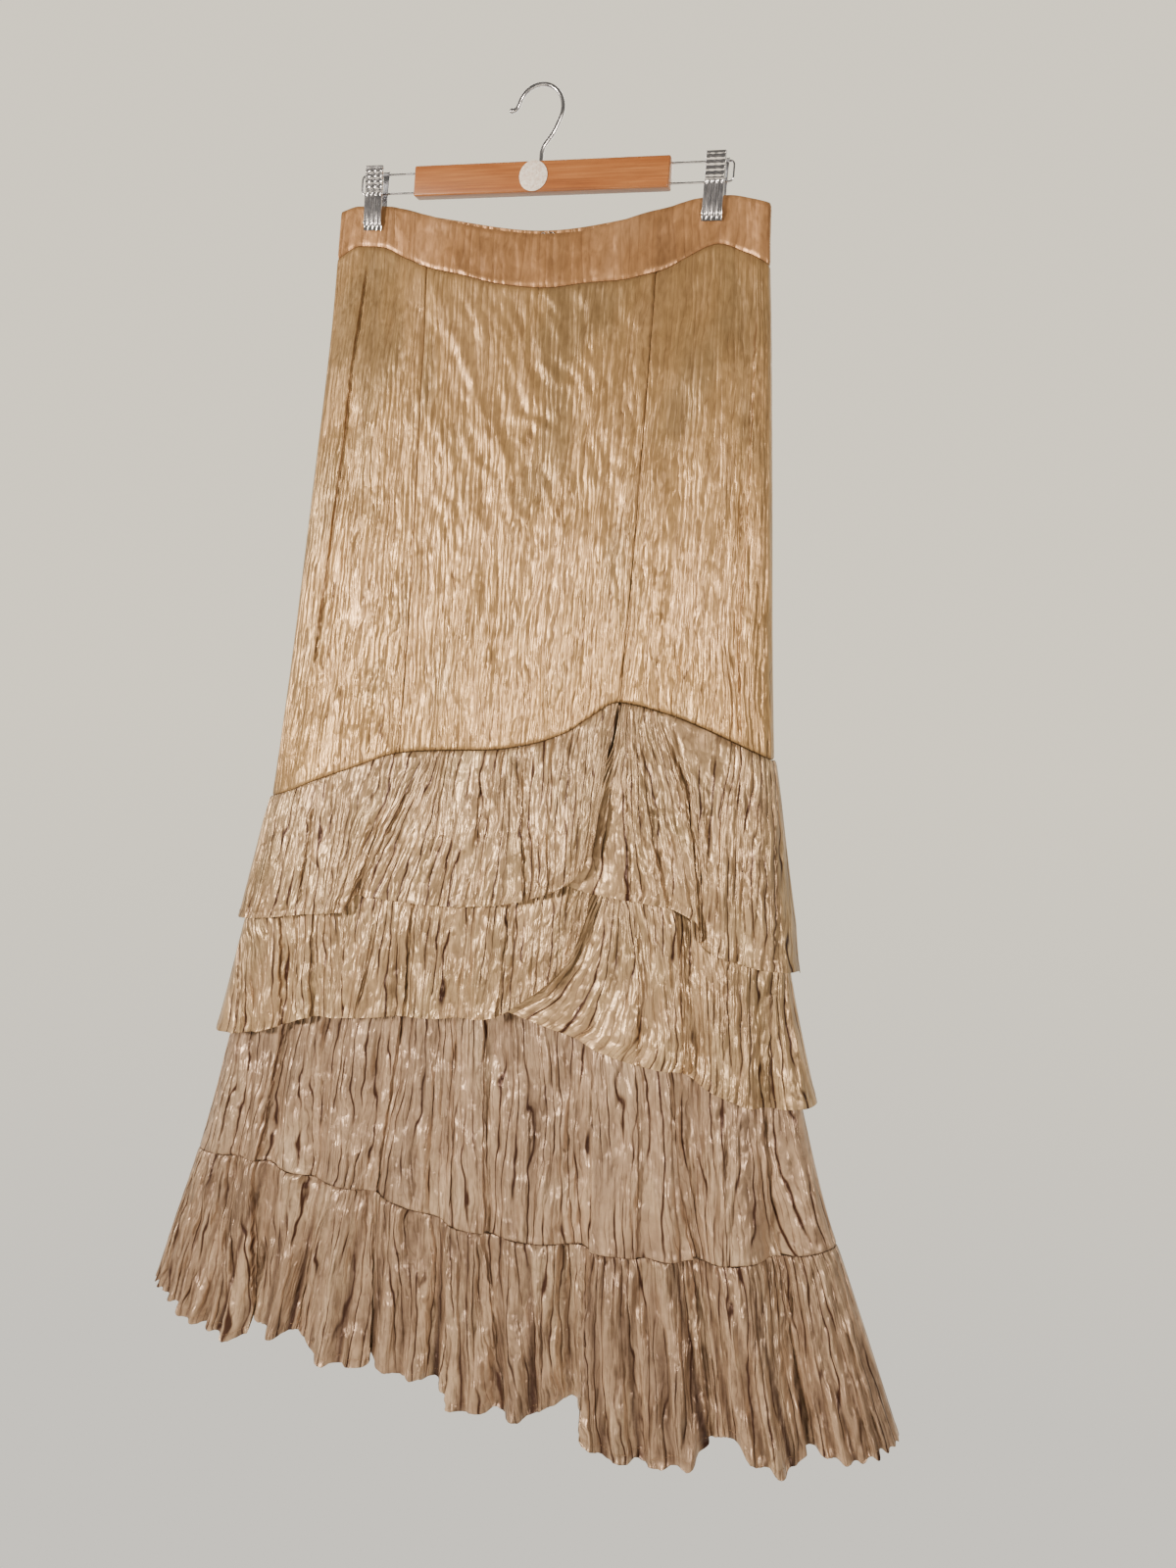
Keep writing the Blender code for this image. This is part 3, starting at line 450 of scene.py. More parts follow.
LOWER_CREASES = (
    Crease(((-244, -860), (-256, -960), (-266, -1030)), 2.0, 1.8, 9),
    Crease(((-190, -830), (-208, -965), (-217, -1030)), 4.2, 4.0, 14),
    Crease(((-148, -840), (-152, -940), (-146, -1020)), 1.8, -1.6, 8),
    Crease(((-116, -840), (-120, -945), (-120, -1020)), 2.0, -2.0, 9),
    Crease(((-64, -820), (-73, -940), (-80, -1024)), 4.4, 4.2, 14),
    Crease(((-10, -820), (-4, -930), (4, -1030)), 1.6, 1.4, 10),
    Crease(((19, -810), (28, -930), (38, -1034)), 3.0, 2.8, 10),
    Crease(((73, -820), (84, -924), (88, -1030)), 1.8, -1.6, 9),
    Crease(((124, -830), (135, -940), (141, -1030)), 3.0, -3.0, 12),
    Crease(((164, -845), (176, -950), (182, -1030)), 1.6, 1.5, 8),
    Crease(((192, -845), (220, -990), (231, -1026)), 4.4, 4.4, 14),
    Crease(((243, -860), (254, -960), (262, -1024)), 1.6, 1.4, 8),
    Crease(((276, -860), (299, -990), (311, -1018)), 5.0, 5.0, 12),
)
RUFFLE_CREASES = (
    Crease(((-217, -1030), (-212, -1110), (-208, -1190)), 4.2, 4.0, 12),
    Crease(((-120, -1026), (-138, -1110), (-150, -1180)), 2.0, -1.6, 9),
    Crease(((-80, -1026), (-76, -1100), (-70, -1186)), 4.4, 4.0, 12),
    Crease(((4, -1036), (14, -1110), (21, -1195)), 3.4, -3.4, 12),
    Crease(((38, -1036), (52, -1110), (75, -1196)), 2.8, 2.4, 9),
    Crease(((141, -1032), (147, -1110), (151, -1190)), 4.4, -4.2, 14),
    Crease(((231, -1028), (247, -1110), (262, -1190)), 4.6, 4.4, 12),
    Crease(((311, -1020), (330, -1110), (350, -1190)), 5.0, 5.0, 12),
)
UPPER_CREASES_LEFT = (Crease(((-164, -140), (-168, -270), (-176, -405), (-184, -505)), 3.2, 2.2, 10),)
UPPER_CREASES_RIGHT = (Crease(((207, -190), (216, -350), (221, -476), (229, -556)), 3.6, -2.6, 9),)


def mirrored(creases, middle=14):
    """The same creases for a back piece, seen in a mirror and a little lower."""
    return tuple(Crease(tuple((2 * middle - x, z - 6) for x, z in row.path),
                        0.8 * row.height, -row.lap, row.reach) for row in reversed(creases))


print("creases in front:", sum(len(rows) for rows in (
    TIER_1_LEFT_CREASES, TIER_1_RIGHT_CREASES, TIER_2_LEFT_CREASES, TIER_2_RIGHT_CREASES,
    LOWER_CREASES, RUFFLE_CREASES)))

# %% [markdown]
# ## Curves and the tube of the skirt
# Every surface here is a function of two numbers: how far across the skirt a
# point is, from -1 at the left side seam to 1 at the right one, and its
# height. A third number lifts the point straight off the tube. The curve
# through a table's points never overshoots them, so a seam stays where its
# table puts it.

# %% Shape functions
SHARE_AT_MIDDLE = 0.64      # 2 / pi: how the share grows with x at the middle of the front


def curve(points, x):
    """A smooth curve through (x, y) points that never overshoots, straight beyond its ends."""
    px, py = np.array(sorted(points), float).T
    width = np.diff(px)
    slope = np.diff(py) / width
    same_way = slope[:-1] * slope[1:] > 0
    product = np.where(same_way, slope[:-1] * slope[1:], 0.0)
    total = np.where(same_way, slope[:-1] + slope[1:], 1.0)
    tangent = np.concatenate(([slope[0]], 2 * product / total, [slope[-1]]))
    i = np.clip(np.searchsorted(px, x) - 1, 0, len(width) - 1)
    share = (x - px[i]) / width[i]
    s = np.clip(share, 0, 1)
    bend = (s**3 - 2 * s**2 + s) * tangent[i] + (s**3 - s**2) * tangent[i + 1]
    beyond = np.where(share > s, tangent[i + 1], tangent[i]) * (share - s)
    return py[i] * (1 - 3 * s**2 + 2 * s**3) + py[i + 1] * (3 * s**2 - 2 * s**3) \
        + width[i] * (bend + beyond)


def size_at(name, z):
    return curve([(row.z, getattr(row, name)) for row in BODY], z)


def half_width(z):
    return (size_at("right", z) - size_at("left", z)) / 2


def as_share(slide, z):
    """A sideways slide in mm as a share of the way across the tube."""
    return slide / half_width(z) * SHARE_AT_MIDDLE


def x_of(across, z):
    left, right = size_at("left", z), size_at("right", z)
    return (left + right) / 2 + (right - left) / 2 * np.sin(across * pi / 2)


def across_of(x, z):
    left, right = size_at("left", z), size_at("right", z)
    return np.arcsin(np.clip((2 * x - left - right) / (right - left), -1, 1)) * 2 / pi


def edge_z(points, across):
    z = np.full(np.shape(across), np.mean([point[1] for point in points]))
    for _ in range(4):
        z = curve(points, x_of(across, z))
    return z


def between(start, end, share):
    return start + (end - start) * share


def smooth(value):
    """0 below 0, 1 above 1, with a soft rise between."""
    t = np.clip(value, 0, 1)
    return t * t * (3 - 2 * t)


def hill(distance, reach):
    """1 at no distance, falling off softly on both sides."""
    return np.exp(-(distance / reach)**2)


def pinch(x, z):
    """1 where a clip holds the band, fading out to its sides and below."""
    beside = np.maximum(np.abs(np.abs(x) - CLIP_X) - CLIP_FLAT, 0)
    below = np.clip((-128 - z) / 130, 0, 1)
    return hill(beside, 20) * (1 - below)**2 * (1 + 2 * below)


def calm_sides(across):
    return (1 - np.abs(np.clip(across, -1, 1))**6)**2


def skirt(across, z, lift, front):
    """Points of the skirt's tube in millimetres, moved out by lift."""
    x = x_of(across, z)
    depth = size_at("front" if front else "back", z)
    power = np.clip(depth / ROUND_DEPTH, 0.5, 1)
    aside, ahead = np.sin(across * pi / 2), np.maximum(np.cos(across * pi / 2), 0)
    out_x, out_y = depth * power * aside, half_width(z) * ahead**(2 - power)
    length = np.hypot(out_x, out_y)
    held = pinch(x, z)
    stand = depth * ahead**power
    stand = stand * (1 - held) + np.minimum(stand, CLIP_BITE) * held + GAP / 2
    stand = stand + lift * out_y / length
    y = size_at("side", z) + (-stand if front else stand)
    return np.stack([x + lift * out_x / length, y, z + 0 * x], axis=-1)


def trough_depth(rows, x, down):
    total = 0
    for row in rows:
        centre = between(row.x_top, row.x_bottom, down)
        reach = np.where(x < centre, row.left, row.right)
        total = total + row.depth * hill(x - centre, reach)
    return total * np.clip(down, 0, 1)**0.7


def lower_lift(across, z, front):
    """Lift of the lower skirt's wall, which the flounces and the ruffle follow."""
    x = x_of(across, z)
    total = 0
    for row in LOWER_FOLDS if front else LOWER_FOLDS_BACK:
        centre = curve(tuple(zip(FOLD_Z, (row.x_hem, row.x_seam, row.x_top))), z)
        reach = np.where(x < centre, row.left, row.right)
        total = total + row.depth * hill(x - centre, reach)
    return -total * np.clip((-640 - z) / 380, 0, 1.3)**1.2 * calm_sides(across)


def wave(along, gathers):
    """Uneven waves across a piece, from -1 to 1, and the turn they are at."""
    turn = along * gathers.waves * 2 * pi
    return np.sin(turn) * (0.72 + 0.28 * np.sin(0.37 * turn + 1.3)), turn


print("middle of the front at hip height, mm:", skirt(np.array(0.0), -300.0, 0, True).round(1))

# %% [markdown]
# ## Crinkles
# Wrung satin has rounded ridges between sharp little valleys, all roughly
# upright, that fork and fade. Noise gives that when its blots are stretched
# downwards and its zero line is pulled into a sharp valley by an absolute
# value. A second noise decides where the cloth is crinkled and where it lies
# smooth. The sizes are the real spacing of the ridges in millimetres.

# %% Noise and crinkles
LATTICE = 256


def noise(u, w, seed):
    """Smooth seeded noise, about -1 to 1, with blots one unit across."""
    angles = np.random.default_rng(seed).uniform(0, 2 * pi, (LATTICE, LATTICE))
    iu, iw = np.floor(u).astype(int), np.floor(w).astype(int)
    fu, fw = u - iu, w - iw

    def corner(du, dw):
        angle = angles[(iu + du) % LATTICE, (iw + dw) % LATTICE]
        return np.cos(angle) * (fu - du) + np.sin(angle) * (fw - dw)
    su, sw = (f * f * f * (f * (f * 6 - 15) + 10) for f in (fu, fw))
    upper = between(corner(0, 0), corner(1, 0), su)
    lower = between(corner(0, 1), corner(1, 1), su)
    return 1.5 * between(upper, lower, sw)


def ridged(x, z, spacing, length, wander, seed):
    """Rounded ridges between sharp valleys, 1 on a ridge and about -1 in a valley."""
    bent = x + wander * noise(x / (4 * spacing), z / length, seed + 1)
    bent = bent + 0.5 * wander * noise(x / (1.7 * spacing), z / (0.35 * length), seed + 2)
    field = noise(bent / spacing, z / length, seed)
    return 3.2 * np.sqrt(field**2 + 0.003) - 1.1


Crinkle = namedtuple("Crinkle", "height spacing length wander bare lines seed")
BAND_CRINKLE = Crinkle(0.3, 8, 26, 4, 0.6, -0.5, 11)
UPPER_CRINKLE = Crinkle(0.7, 6.5, 70, 5, 0.35, -0.4, 23)
FLOUNCE_CRINKLE = Crinkle(1.6, 9, 50, 5, 0.5, -0.1, 37)
LOWER_CRINKLE = Crinkle(1.9, 10, 130, 6, 0.5, 0.0, 53)
RUFFLE_CRINKLE = Crinkle(2.2, 10, 140, 5, 0.85, 0.2, 71)


def crinkled(look, x, z, seed):
    """Height of the crinkles, and the painted shade in their valleys."""
    seed = look.seed + seed
    wide = ridged(x, z, 2 * look.spacing, 1.6 * look.length, 1.5 * look.wander, seed)
    narrow = ridged(x, z, look.spacing, look.length, look.wander, seed + 10)
    bent = x + 0.6 * look.wander * noise(x / 13, z / 15, seed + 21)
    swell = noise(bent / (0.8 * look.spacing), z / (0.5 * look.length), seed + 20)
    lumps = noise(x / 9, z / 17, seed + 30)
    share = smooth(noise(x / 48, z / 75, seed + 40) * 1.3 + 0.5)
    share = look.bare + (1 - look.bare) * share
    height = 0.5 * wide + 0.5 * narrow + 1.1 * swell + 0.5 * lumps
    chosen = smooth(noise(x / 19, z / (1.6 * look.length), seed + 50) * 1.6 + look.lines)
    # painted shade in the sharp valleys, only where chosen keeps them
    dark = smooth((-0.6 - narrow) / 0.25) + smooth((-0.7 - wide) / 0.2)
    return look.height * height * share, 0.4 * np.clip(dark, 0, 1) * share * chosen


print("a crinkle every", UPPER_CRINKLE.spacing, "mm or so")

# %% [markdown]
# ## From a surface to a piece of cloth
# A grid from Blender's own grid operator becomes a piece of cloth when each of
# its points is given its place on the surface. Two things make the creases
# crisp. The columns follow the creases down the cloth, so that a lip never
# has to cross them, and they crowd together at each crease. Solidify then
# gives the sheet its thickness, inwards from the outer face.

# %% Grid columns that follow the creases
CROWD = (-3.6, -2.4, -1.5, -0.9, -0.45, 0, 0.45, 0.9, 1.5, 2.4, 3.6)


def crowded(count, width, anchors=()):
    """Stops from 0 to 1, evenly spread and closer together at the anchors and both ends."""
    stops = list(np.linspace(0, 1, count + 1))
    near = [anchor + offset / width for anchor in anchors for offset in CROWD]
    near += [end + side * offset / width for end, side in ((0, 1), (1, -1))
             for offset in (0.5, 1.1, 2.0)]
    kept = [stop for stop in near if 0 < stop < 1]
    spacing = 1 / count
    for stop in stops:
        if all(abs(stop - other) > 0.45 * spacing for other in kept) or stop in (0, 1):
            kept.append(stop)
    kept = sorted(kept)
    return np.array([kept[0]] + [b for a, b in zip(kept, kept[1:]) if b - a > 0.15 / width])


def crease_places(creases, left, right, top, bottom):
    """Where each crease lies across the piece: a share for each v of a ladder down it."""
    ladder = np.linspace(0, 1, 25)
    places = []
    for row in creases:
        share = np.full(len(ladder), 0.5)
        for _ in range(6):
            across = between(left(ladder), right(ladder), share)
            z = between(edge_z(top, across), edge_z(bottom, across), ladder)
            held_z = np.clip(z, row.path[-1][1], row.path[0][1])
            wanted = across_of(curve([(pz, px) for px, pz in row.path], held_z), held_z)
            share = (wanted - left(ladder)) / (right(ladder) - left(ladder))
            share = np.clip(share, 0.02, 0.98)
        inside = (z <= row.path[0][1]) & (z >= row.path[-1][1])
        if inside.any():
            share = np.interp(ladder, ladder[inside], share[inside])
        places.append(share)
    return ladder, places


def following(stops, v, ladder=None, places=()):
    """Moves each row's stops so that a crease keeps its own column."""
    if not len(places):
        return np.broadcast_to(stops, (len(v), len(stops))).copy()
    fixed = [float(place.mean()) for place in places]
    rows = []
    for share_down in v:
        now = [float(np.interp(share_down, ladder, place)) for place in places]
        rows.append(np.interp(stops, [0, *fixed, 1], [0, *now, 1]))
    return np.array(rows)


def creased(creases, x, z):
    """Lift, sideways lap and painted shade of the creases at a point of the cloth."""
    lift = slide = dark = 0 * x
    for row in creases:
        top, bottom = row.path[0][1], row.path[-1][1]
        centre = curve([(pz, px) for px, pz in row.path], np.clip(z, bottom - 8, top))
        centre = centre + 1.3 * noise(z / 21 + top, z / 9 + row.path[0][0], 90)
        grown = smooth((top - z) / 45 + 0.05) * smooth((z - bottom) / 25 + 1.4)
        grown = grown * (0.8 + 0.35 * noise(z / 26 + top, 0 * z + 0.37 * row.path[0][0], 91))
        side = np.sign(row.lap)
        off = (x - centre) * side
        lip = 1 / (1 + np.exp(np.clip(off / 0.35, -30, 30)))
        raised = row.height * np.exp(np.minimum(off, 0) / row.reach) * lip
        sunk = 0.5 * row.height * np.exp(-np.maximum(off, 0) / (0.6 * row.reach)) * (1 - lip)
        lift = lift + grown * (raised - sunk)
        slide = slide + grown * row.lap * hill(off + 1.2, 3.0) * lip
        # painted shade: the thin dark line that the lap throws, on top of the real overlap
        line = hill(np.maximum(off, 0), 1.0) * hill(np.minimum(off, 0), 0.4)
        dark = np.maximum(dark, grown * line * min(1, 0.75 + 0.12 * row.height))
    return lift, slide, dark


print("stops near a crease, mm:", CROWD)

# %% [markdown]
# ## The builder of a piece
# The builder takes a shape, and the columns and rows to work it out at. It
# writes each point's place, the UV map in metres and the attribute of painted shade.
# The cloth's own cut is measured on the mesh: the longest row and column,
# and the area. Rows are coarse above the part that is dense, if there is one.

# %% Cloth piece
Cut = namedtuple("Cut", "width length area")
cuts = {}
HEM_TURN = 8.0          # depth of the stitched hems
HEM_RIDGE = 0.35


def row_stops(rows, coarse=0, dense=0):
    """Rows from 0 to 1: coarse above dense, fine below it and close together at both ends."""
    upper = np.linspace(0, dense, coarse + 1)[:-1]
    lower = np.linspace(dense, 1, rows + 1)
    stops = np.concatenate([upper, lower])
    step = (1 - dense) / rows
    extra = [0.12 * step, 0.3 * step, 1 - 0.12 * step, 1 - 0.3 * step]
    return np.unique(np.concatenate([stops, extra]))


def smooth_mesh(bm, name, material):
    """Turns a bmesh to a smooth mesh with its material, and frees it."""
    mesh = bpy.data.meshes.new(name)
    bm.to_mesh(mesh)
    bm.free()
    mesh.shade_smooth()
    mesh.materials.append(material)
    return mesh


def cloth_piece(node_name, shape, across, v, slot, front=True, shell=SHELL):
    """Makes one piece. shape(s, v) gives points in mm and a painted shade, for grids of s and v."""
    name = node_name + "_satin"
    down = np.repeat(v[:, None], across.shape[1], axis=1)
    points, dark = shape(across, down)
    rows, columns = across.shape

    bm = bmesh.new()
    bm.loops.layers.uv.new("metres")
    bmesh.ops.create_grid(bm, x_segments=columns - 1, y_segments=rows - 1, size=0.5)
    if not front:
        bmesh.ops.reverse_faces(bm, faces=bm.faces[:])
    mesh = smooth_mesh(bm, name, satins[slot])

    flat = np.zeros(len(mesh.vertices) * 3)
    mesh.vertices.foreach_get("co", flat)
    flat = flat.reshape(-1, 3)
    column = np.rint((flat[:, 0] + 0.5) * (columns - 1)).astype(int)
    row = np.rint((0.5 - flat[:, 1]) * (rows - 1)).astype(int)
    mesh.vertices.foreach_set("co", (points[row, column] * MM).ravel())

    steps_across = np.linalg.norm(np.diff(points, axis=1), axis=-1)
    steps_down = np.linalg.norm(np.diff(points, axis=0), axis=-1)
    width = points[0, 0, 0] + np.cumsum(np.pad(np.median(steps_across, axis=0), (1, 0)))
    length = -np.cumsum(np.pad(np.median(steps_down, axis=1), (1, 0)))
    corner = np.zeros(len(mesh.loops), int)
    mesh.loops.foreach_get("vertex_index", corner)
    uv = np.stack([width[column[corner]], length[row[corner]]], axis=-1) * MM
    mesh.uv_layers[0].data.foreach_set("uv", uv.ravel())
    # painted shade, kept on the mesh for the satin to read
    painted_shade = mesh.attributes.new("painted_shade", "FLOAT", "POINT")
    painted_shade.data.foreach_set("value", np.clip(dark[row, column], 0, 1).astype(np.float32))

    piece = in_scene(name, mesh)
    thick = piece.modifiers.new("cloth thickness", "SOLIDIFY")
    thick.thickness = shell * MM
    thick.offset = -1
    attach(piece, "root")
    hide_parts(node_name)
    area = sum(face.area for face in mesh.polygons)
    widest = steps_across.sum(axis=1).max() * MM
    longest = steps_down.sum(axis=0).max() * MM
    cuts[name] = Cut(round(float(widest), 3), round(float(longest), 3), round(area, 4))
    print(name, "cut", cuts[name], "points", rows * columns)


def edge_roll(s, width, left=True, right=True):
    """The cloth turns in towards a seam at its upright edges."""
    roll = 0
    if left:
        roll = roll + hill(s * width, 1.3)
    if right:
        roll = roll + hill((1 - s) * width, 1.3)
    return -0.9 * roll


def hem_ridge(distance):
    """A narrow hem is two layers thick, with a groove at its stitch line."""
    inside = smooth((HEM_TURN - distance) / 0.8)
    groove = hill(distance - HEM_TURN + 1, 0.7)
    return HEM_RIDGE * inside - 0.45 * groove


def darkest(*shades):
    """The highest of several darknesses at each point."""
    total = shades[0]
    for shade in shades[1:]:
        total = np.maximum(total, shade)
    return total


print("hem turn", HEM_TURN, "mm")

# %% [markdown]
# ## The waistband
# The band is cut to a curve, stiffened and smooth. It shows only faint
# crinkles, two or three soft pulls where the clips hold it, and rounded
# edges. Its seam with the skirt is the crisp line below it, with painted
# shade along the band's lower edge.

# %% Waistband
def straight(place):
    return lambda v: place + 0 * np.asarray(v, float)


def band_shape(ends, top, bottom, front, seed):
    def shape(s, v):
        across = between(*ends, s)
        z = between(edge_z(top, across), edge_z(bottom, across) + GAP / 2, v)
        x = x_of(across, z)
        tall = edge_z(top, across) - edge_z(bottom, across)
        edges = hill(v * tall, 1.2) + 1.2 * hill((1 - v) * tall, 1.4)
        soft = smooth(v * 5) * smooth((1 - v) * 8)
        height, dark = crinkled(BAND_CRINKLE, x, z, seed)
        pulls = 0.7 * noise(x / 34 + z / 60, z / 26, 300 + seed)
        free = 1 - pinch(x, z)
        lift = (height + pulls) * soft * free * calm_sides(across) - 0.7 * edges
        # painted shade in the crinkles' valleys and along the band's lower edge at its seam
        dark = 0.4 * dark * soft + 0.5 * hill((1 - v) * tall, 0.9)
        return skirt(across, z, lift, front), dark
    return shape


v = row_stops(22)
cloth_piece("waistband_front", band_shape((-1, 1), BAND_TOP, BAND_SEAM, True, 0),
            following(crowded(230, 409), v), v, "band_satin", True, BAND_SHELL)
v = row_stops(14)
SEAM_HALF = GAP / 2 / 190       # half a seam's gap, as a share of half the waist
for side, ends in (("left", (-1, -SEAM_HALF)), ("right", (SEAM_HALF, 1))):
    cloth_piece(f"waistband_back_{side}",
                band_shape(ends, BAND_TOP_BACK, BAND_SEAM_BACK, False, 5),
                following(crowded(70, 205), v), v, "band_satin", False, BAND_SHELL)

# %% [markdown]
# ## The upper skirt
# Three panels meet in two princess seams. The side panels hang straight, with
# one long fold each. The middle panel is pulled askew by the clips, so long
# drag lines run from its upper left to its middle, and low diagonal wrinkles
# cross the upright crinkle, which grows stronger towards the first flounce.

# %% Upper skirt
Drag = namedtuple("Drag", "x_start z_start x_end z_end width height")
DRAGS = (
    Drag(-86, -178, 26, -392, 7, 1.1), Drag(-92, -268, -10, -412, 7, 0.9),
    Drag(-74, -200, 2, -342, 6, 0.7), Drag(-40, -190, 20, -290, 6, 0.5),
    Drag(-92, -395, -30, -520, 6, 0.6), Drag(24, -385, 40, -560, 8, -1.4),
    Drag(-30, -300, 24, -400, 5, 0.7), Drag(30, -230, 60, -420, 7, 0.6),
    Drag(-88, -423, -58, -411, 2.5, 0.7), Drag(-90, -440, -66, -432, 2.5, 0.4),
    Drag(60, -200, 92, -330, 6, 0.5), Drag(-70, -430, -36, -500, 3, 0.7),
    Drag(150, -150, 152, -360, 11, -1.6), Drag(180, -200, 186, -420, 8, 0.8),
    Drag(-126, -160, -140, -420, 9, 0.9), Drag(-150, -380, -158, -470, 3, 0.7),
    Drag(196, -150, 206, -176, 4, 1.4), Drag(188, -148, 198, -190, 3, 0.9),
)


def dragged(x, z):
    """Height of the long pulls across the panels."""
    total = 0
    for row in DRAGS:
        run, fall = row.x_end - row.x_start, row.z_end - row.z_start
        length = np.hypot(run, fall)
        along = ((x - row.x_start) * run + (z - row.z_start) * fall) / length**2
        aside = ((x - row.x_start) * fall - (z - row.z_start) * run) / length
        ends = smooth(along * 4 + 0.4) * smooth((1 - along) * 4 + 0.4)
        total = total + row.height * ends * hill(aside, row.width)
    return total


def upper_shape(left, right, top, bottom, front, creases, width, seed):
    def shape(s, v):
        across = between(left(v), right(v), s)
        z = between(edge_z(top, across) - GAP / 2, edge_z(bottom, across) + GAP / 2, v)
        x = x_of(across, z)
        quiet = calm_sides(across)
        ends = np.clip(v, 0, 1) * np.clip(1 - v, 0, 1) * 4
        depth = trough_depth(UPPER_TROUGHS, x if front else 14 - x, v) * ends
        depth = depth * (1 if front else 0.4)
        drop = edge_z(top, across) - edge_z(bottom, across)
        to_top, to_bottom = v * drop, (1 - v) * drop
        pinned = smooth(to_top / 10) * smooth(to_bottom / 6)
        height, dark = crinkled(UPPER_CRINKLE, x, z, seed)
        askew = ridged(x * 0.88 + z * 0.47, z * 0.88 - x * 0.47, 16, 70, 12, 400 + seed)
        central = hill(x - 10, 95) * smooth((-150 - z) / 60) * smooth((z + 520) / 160)
        height = height * between(0.3, 1.3, smooth(v * 1.15)) + 0.95 * askew * central
        puckers = noise(x / 3.2, z / 30, 500 + seed) * np.exp(-to_bottom / 16) * 0.5
        puckers = puckers + noise(x / 5, z / 18, 510 + seed) * np.exp(-to_top / 14) * 0.35
        height = height + puckers + dragged(x if front else 14 - x, z)
        lip, slide, line = creased(creases, x, z)
        rolled = edge_roll(s, width, left is not side_left, right is not side_right)
        rolled = rolled - 0.9 * (hill(to_top, 1.2) + hill(to_bottom, 1.2))
        held = smooth((np.minimum(to_top, to_bottom)) / 8)
        lift = -depth * quiet + height * pinned * quiet + rolled + lip * held * quiet
        # painted shade along the seams at the panel's top, bottom and princess edges
        seam_shade = 0.6 * hill(to_bottom, 0.9) + 0.4 * hill(to_top, 0.8)
        if left is not side_left:
            seam_shade = darkest(seam_shade, 0.45 * hill(s * width, 0.7))
        if right is not side_right:
            seam_shade = darkest(seam_shade, 0.45 * hill((1 - s) * width, 0.7))
        dark = darkest(0.3 * dark * pinned, line * held, seam_shade)
        return skirt(across + as_share(slide * held * quiet, z), z, lift, front), dark
    return shape


side_left, side_right = straight(-1.0), straight(1.0)


def seam_line(seam, shift):
    top, bottom = (across_of(x, z) + shift for x, z in seam)
    return lambda v: between(top, bottom, v)


def fitted(creases, left, right, top, bottom, count, width, v):
    """Grid columns for a piece, drawn along its creases."""
    ladder, places = crease_places(creases, left, right, top, bottom)
    order = np.argsort([place.mean() for place in places]) if places else []
    places = [places[i] for i in order]
    stops = crowded(count, width, [float(place.mean()) for place in places])
    return following(stops, v, ladder, places)


PANELS = (
    ("left", side_left, seam_line(PRINCESS_LEFT, -SEAM_HALF), UPPER_CREASES_LEFT, 74, 148),
    ("centre", seam_line(PRINCESS_LEFT, SEAM_HALF), seam_line(PRINCESS_RIGHT, -SEAM_HALF), (),
     124, 218),
    ("right", seam_line(PRINCESS_RIGHT, SEAM_HALF), side_right, UPPER_CREASES_RIGHT, 74, 140),
)
for index, (side, left, right, creases, count, width) in enumerate(PANELS):
    v = row_stops(118)
    columns = fitted(creases, left, right, BAND_SEAM, FIRST_SEAM, count, width, v)
    cloth_piece(f"skirt_front_{side}",
                upper_shape(left, right, BAND_SEAM, FIRST_SEAM, True, creases, width, index * 50),
                columns, v, "skirt_satin")
for side, left, right in (("left", side_left, straight(-SEAM_HALF)),
                          ("right", straight(SEAM_HALF), side_right)):
    v = row_stops(74)
    columns = fitted((), left, right, BAND_SEAM_BACK, FIRST_SEAM_BACK, 66, 240, v)
    cloth_piece(f"skirt_back_{side}",
                upper_shape(left, right, BAND_SEAM_BACK, FIRST_SEAM_BACK, False, (), 240, 160),
                columns, v, "skirt_satin", False)

# %% [markdown]
# ## The lower skirt
# Below the flounces the skirt widens to the ruffle's seam. Most of its crinkle
# runs right down, and six deep folds lap over their neighbours. Only its lower
# half shows, so its rows are coarse where the flounces cover it.

# %% Lower skirt
SHOWN_FROM = 0.46


def lower_shape(top, bottom, gathers, creases, front, seed):
    def shape(s, v):
        across = between(-1, 1, s)
        z = between(edge_z(top, across) - LOWER_DROP, edge_z(bottom, across) + RUFFLE_GAP / 2, v)
        x = x_of(across, z)
        quiet = calm_sides(across)
        grown = np.clip((v - 0.45) / 0.35, 0, 1) * np.clip((1 - v) / 0.15, 0, 1)
        waves = wave(s, gathers)[0] * gathers.height * grown
        to_bottom = (1 - v) * (edge_z(top, across) - edge_z(bottom, across))
        shown = smooth((v - SHOWN_FROM) / 0.1)
        height, dark = crinkled(LOWER_CRINKLE, x, z, seed)
        height = height * smooth(to_bottom / 5) + noise(x / 4, z / 20, 610) * 0.5 \
            * np.exp(-to_bottom / 10)
        lip, slide, line = creased(creases, x, z)
        lift = lower_lift(across, z, front) + (waves + height * shown + lip * shown) * quiet
        lift = lift - 0.9 * hill(to_bottom, 1.3)
        # painted shade in the valleys and creases, and along the ruffle's seam
        dark = darkest(dark, line, 0.5 * hill(to_bottom, 0.8)) * shown
        return skirt(across + as_share(slide * shown * quiet, z), z, lift, front), dark
    return shape


for node_name, seam, gathers, creases, front, seed, count, v in (
        ("lower_skirt_front", FIRST_SEAM, LOWER_GATHERS, LOWER_CREASES, True, 0, 300,
         row_stops(74, 10, SHOWN_FROM)),
        ("lower_skirt_back", FIRST_SEAM_BACK, LOWER_BACK_GATHERS, mirrored(LOWER_CREASES[1::2]),
         False, 9, 130, row_stops(40, 8, SHOWN_FROM))):
    columns = fitted(creases, side_left, side_right, seam, RUFFLE_SEAM, count, 620, v)
    cloth_piece(node_name, lower_shape(seam, RUFFLE_SEAM, gathers, creases, front, seed),
                columns, v, "lower_satin", front)

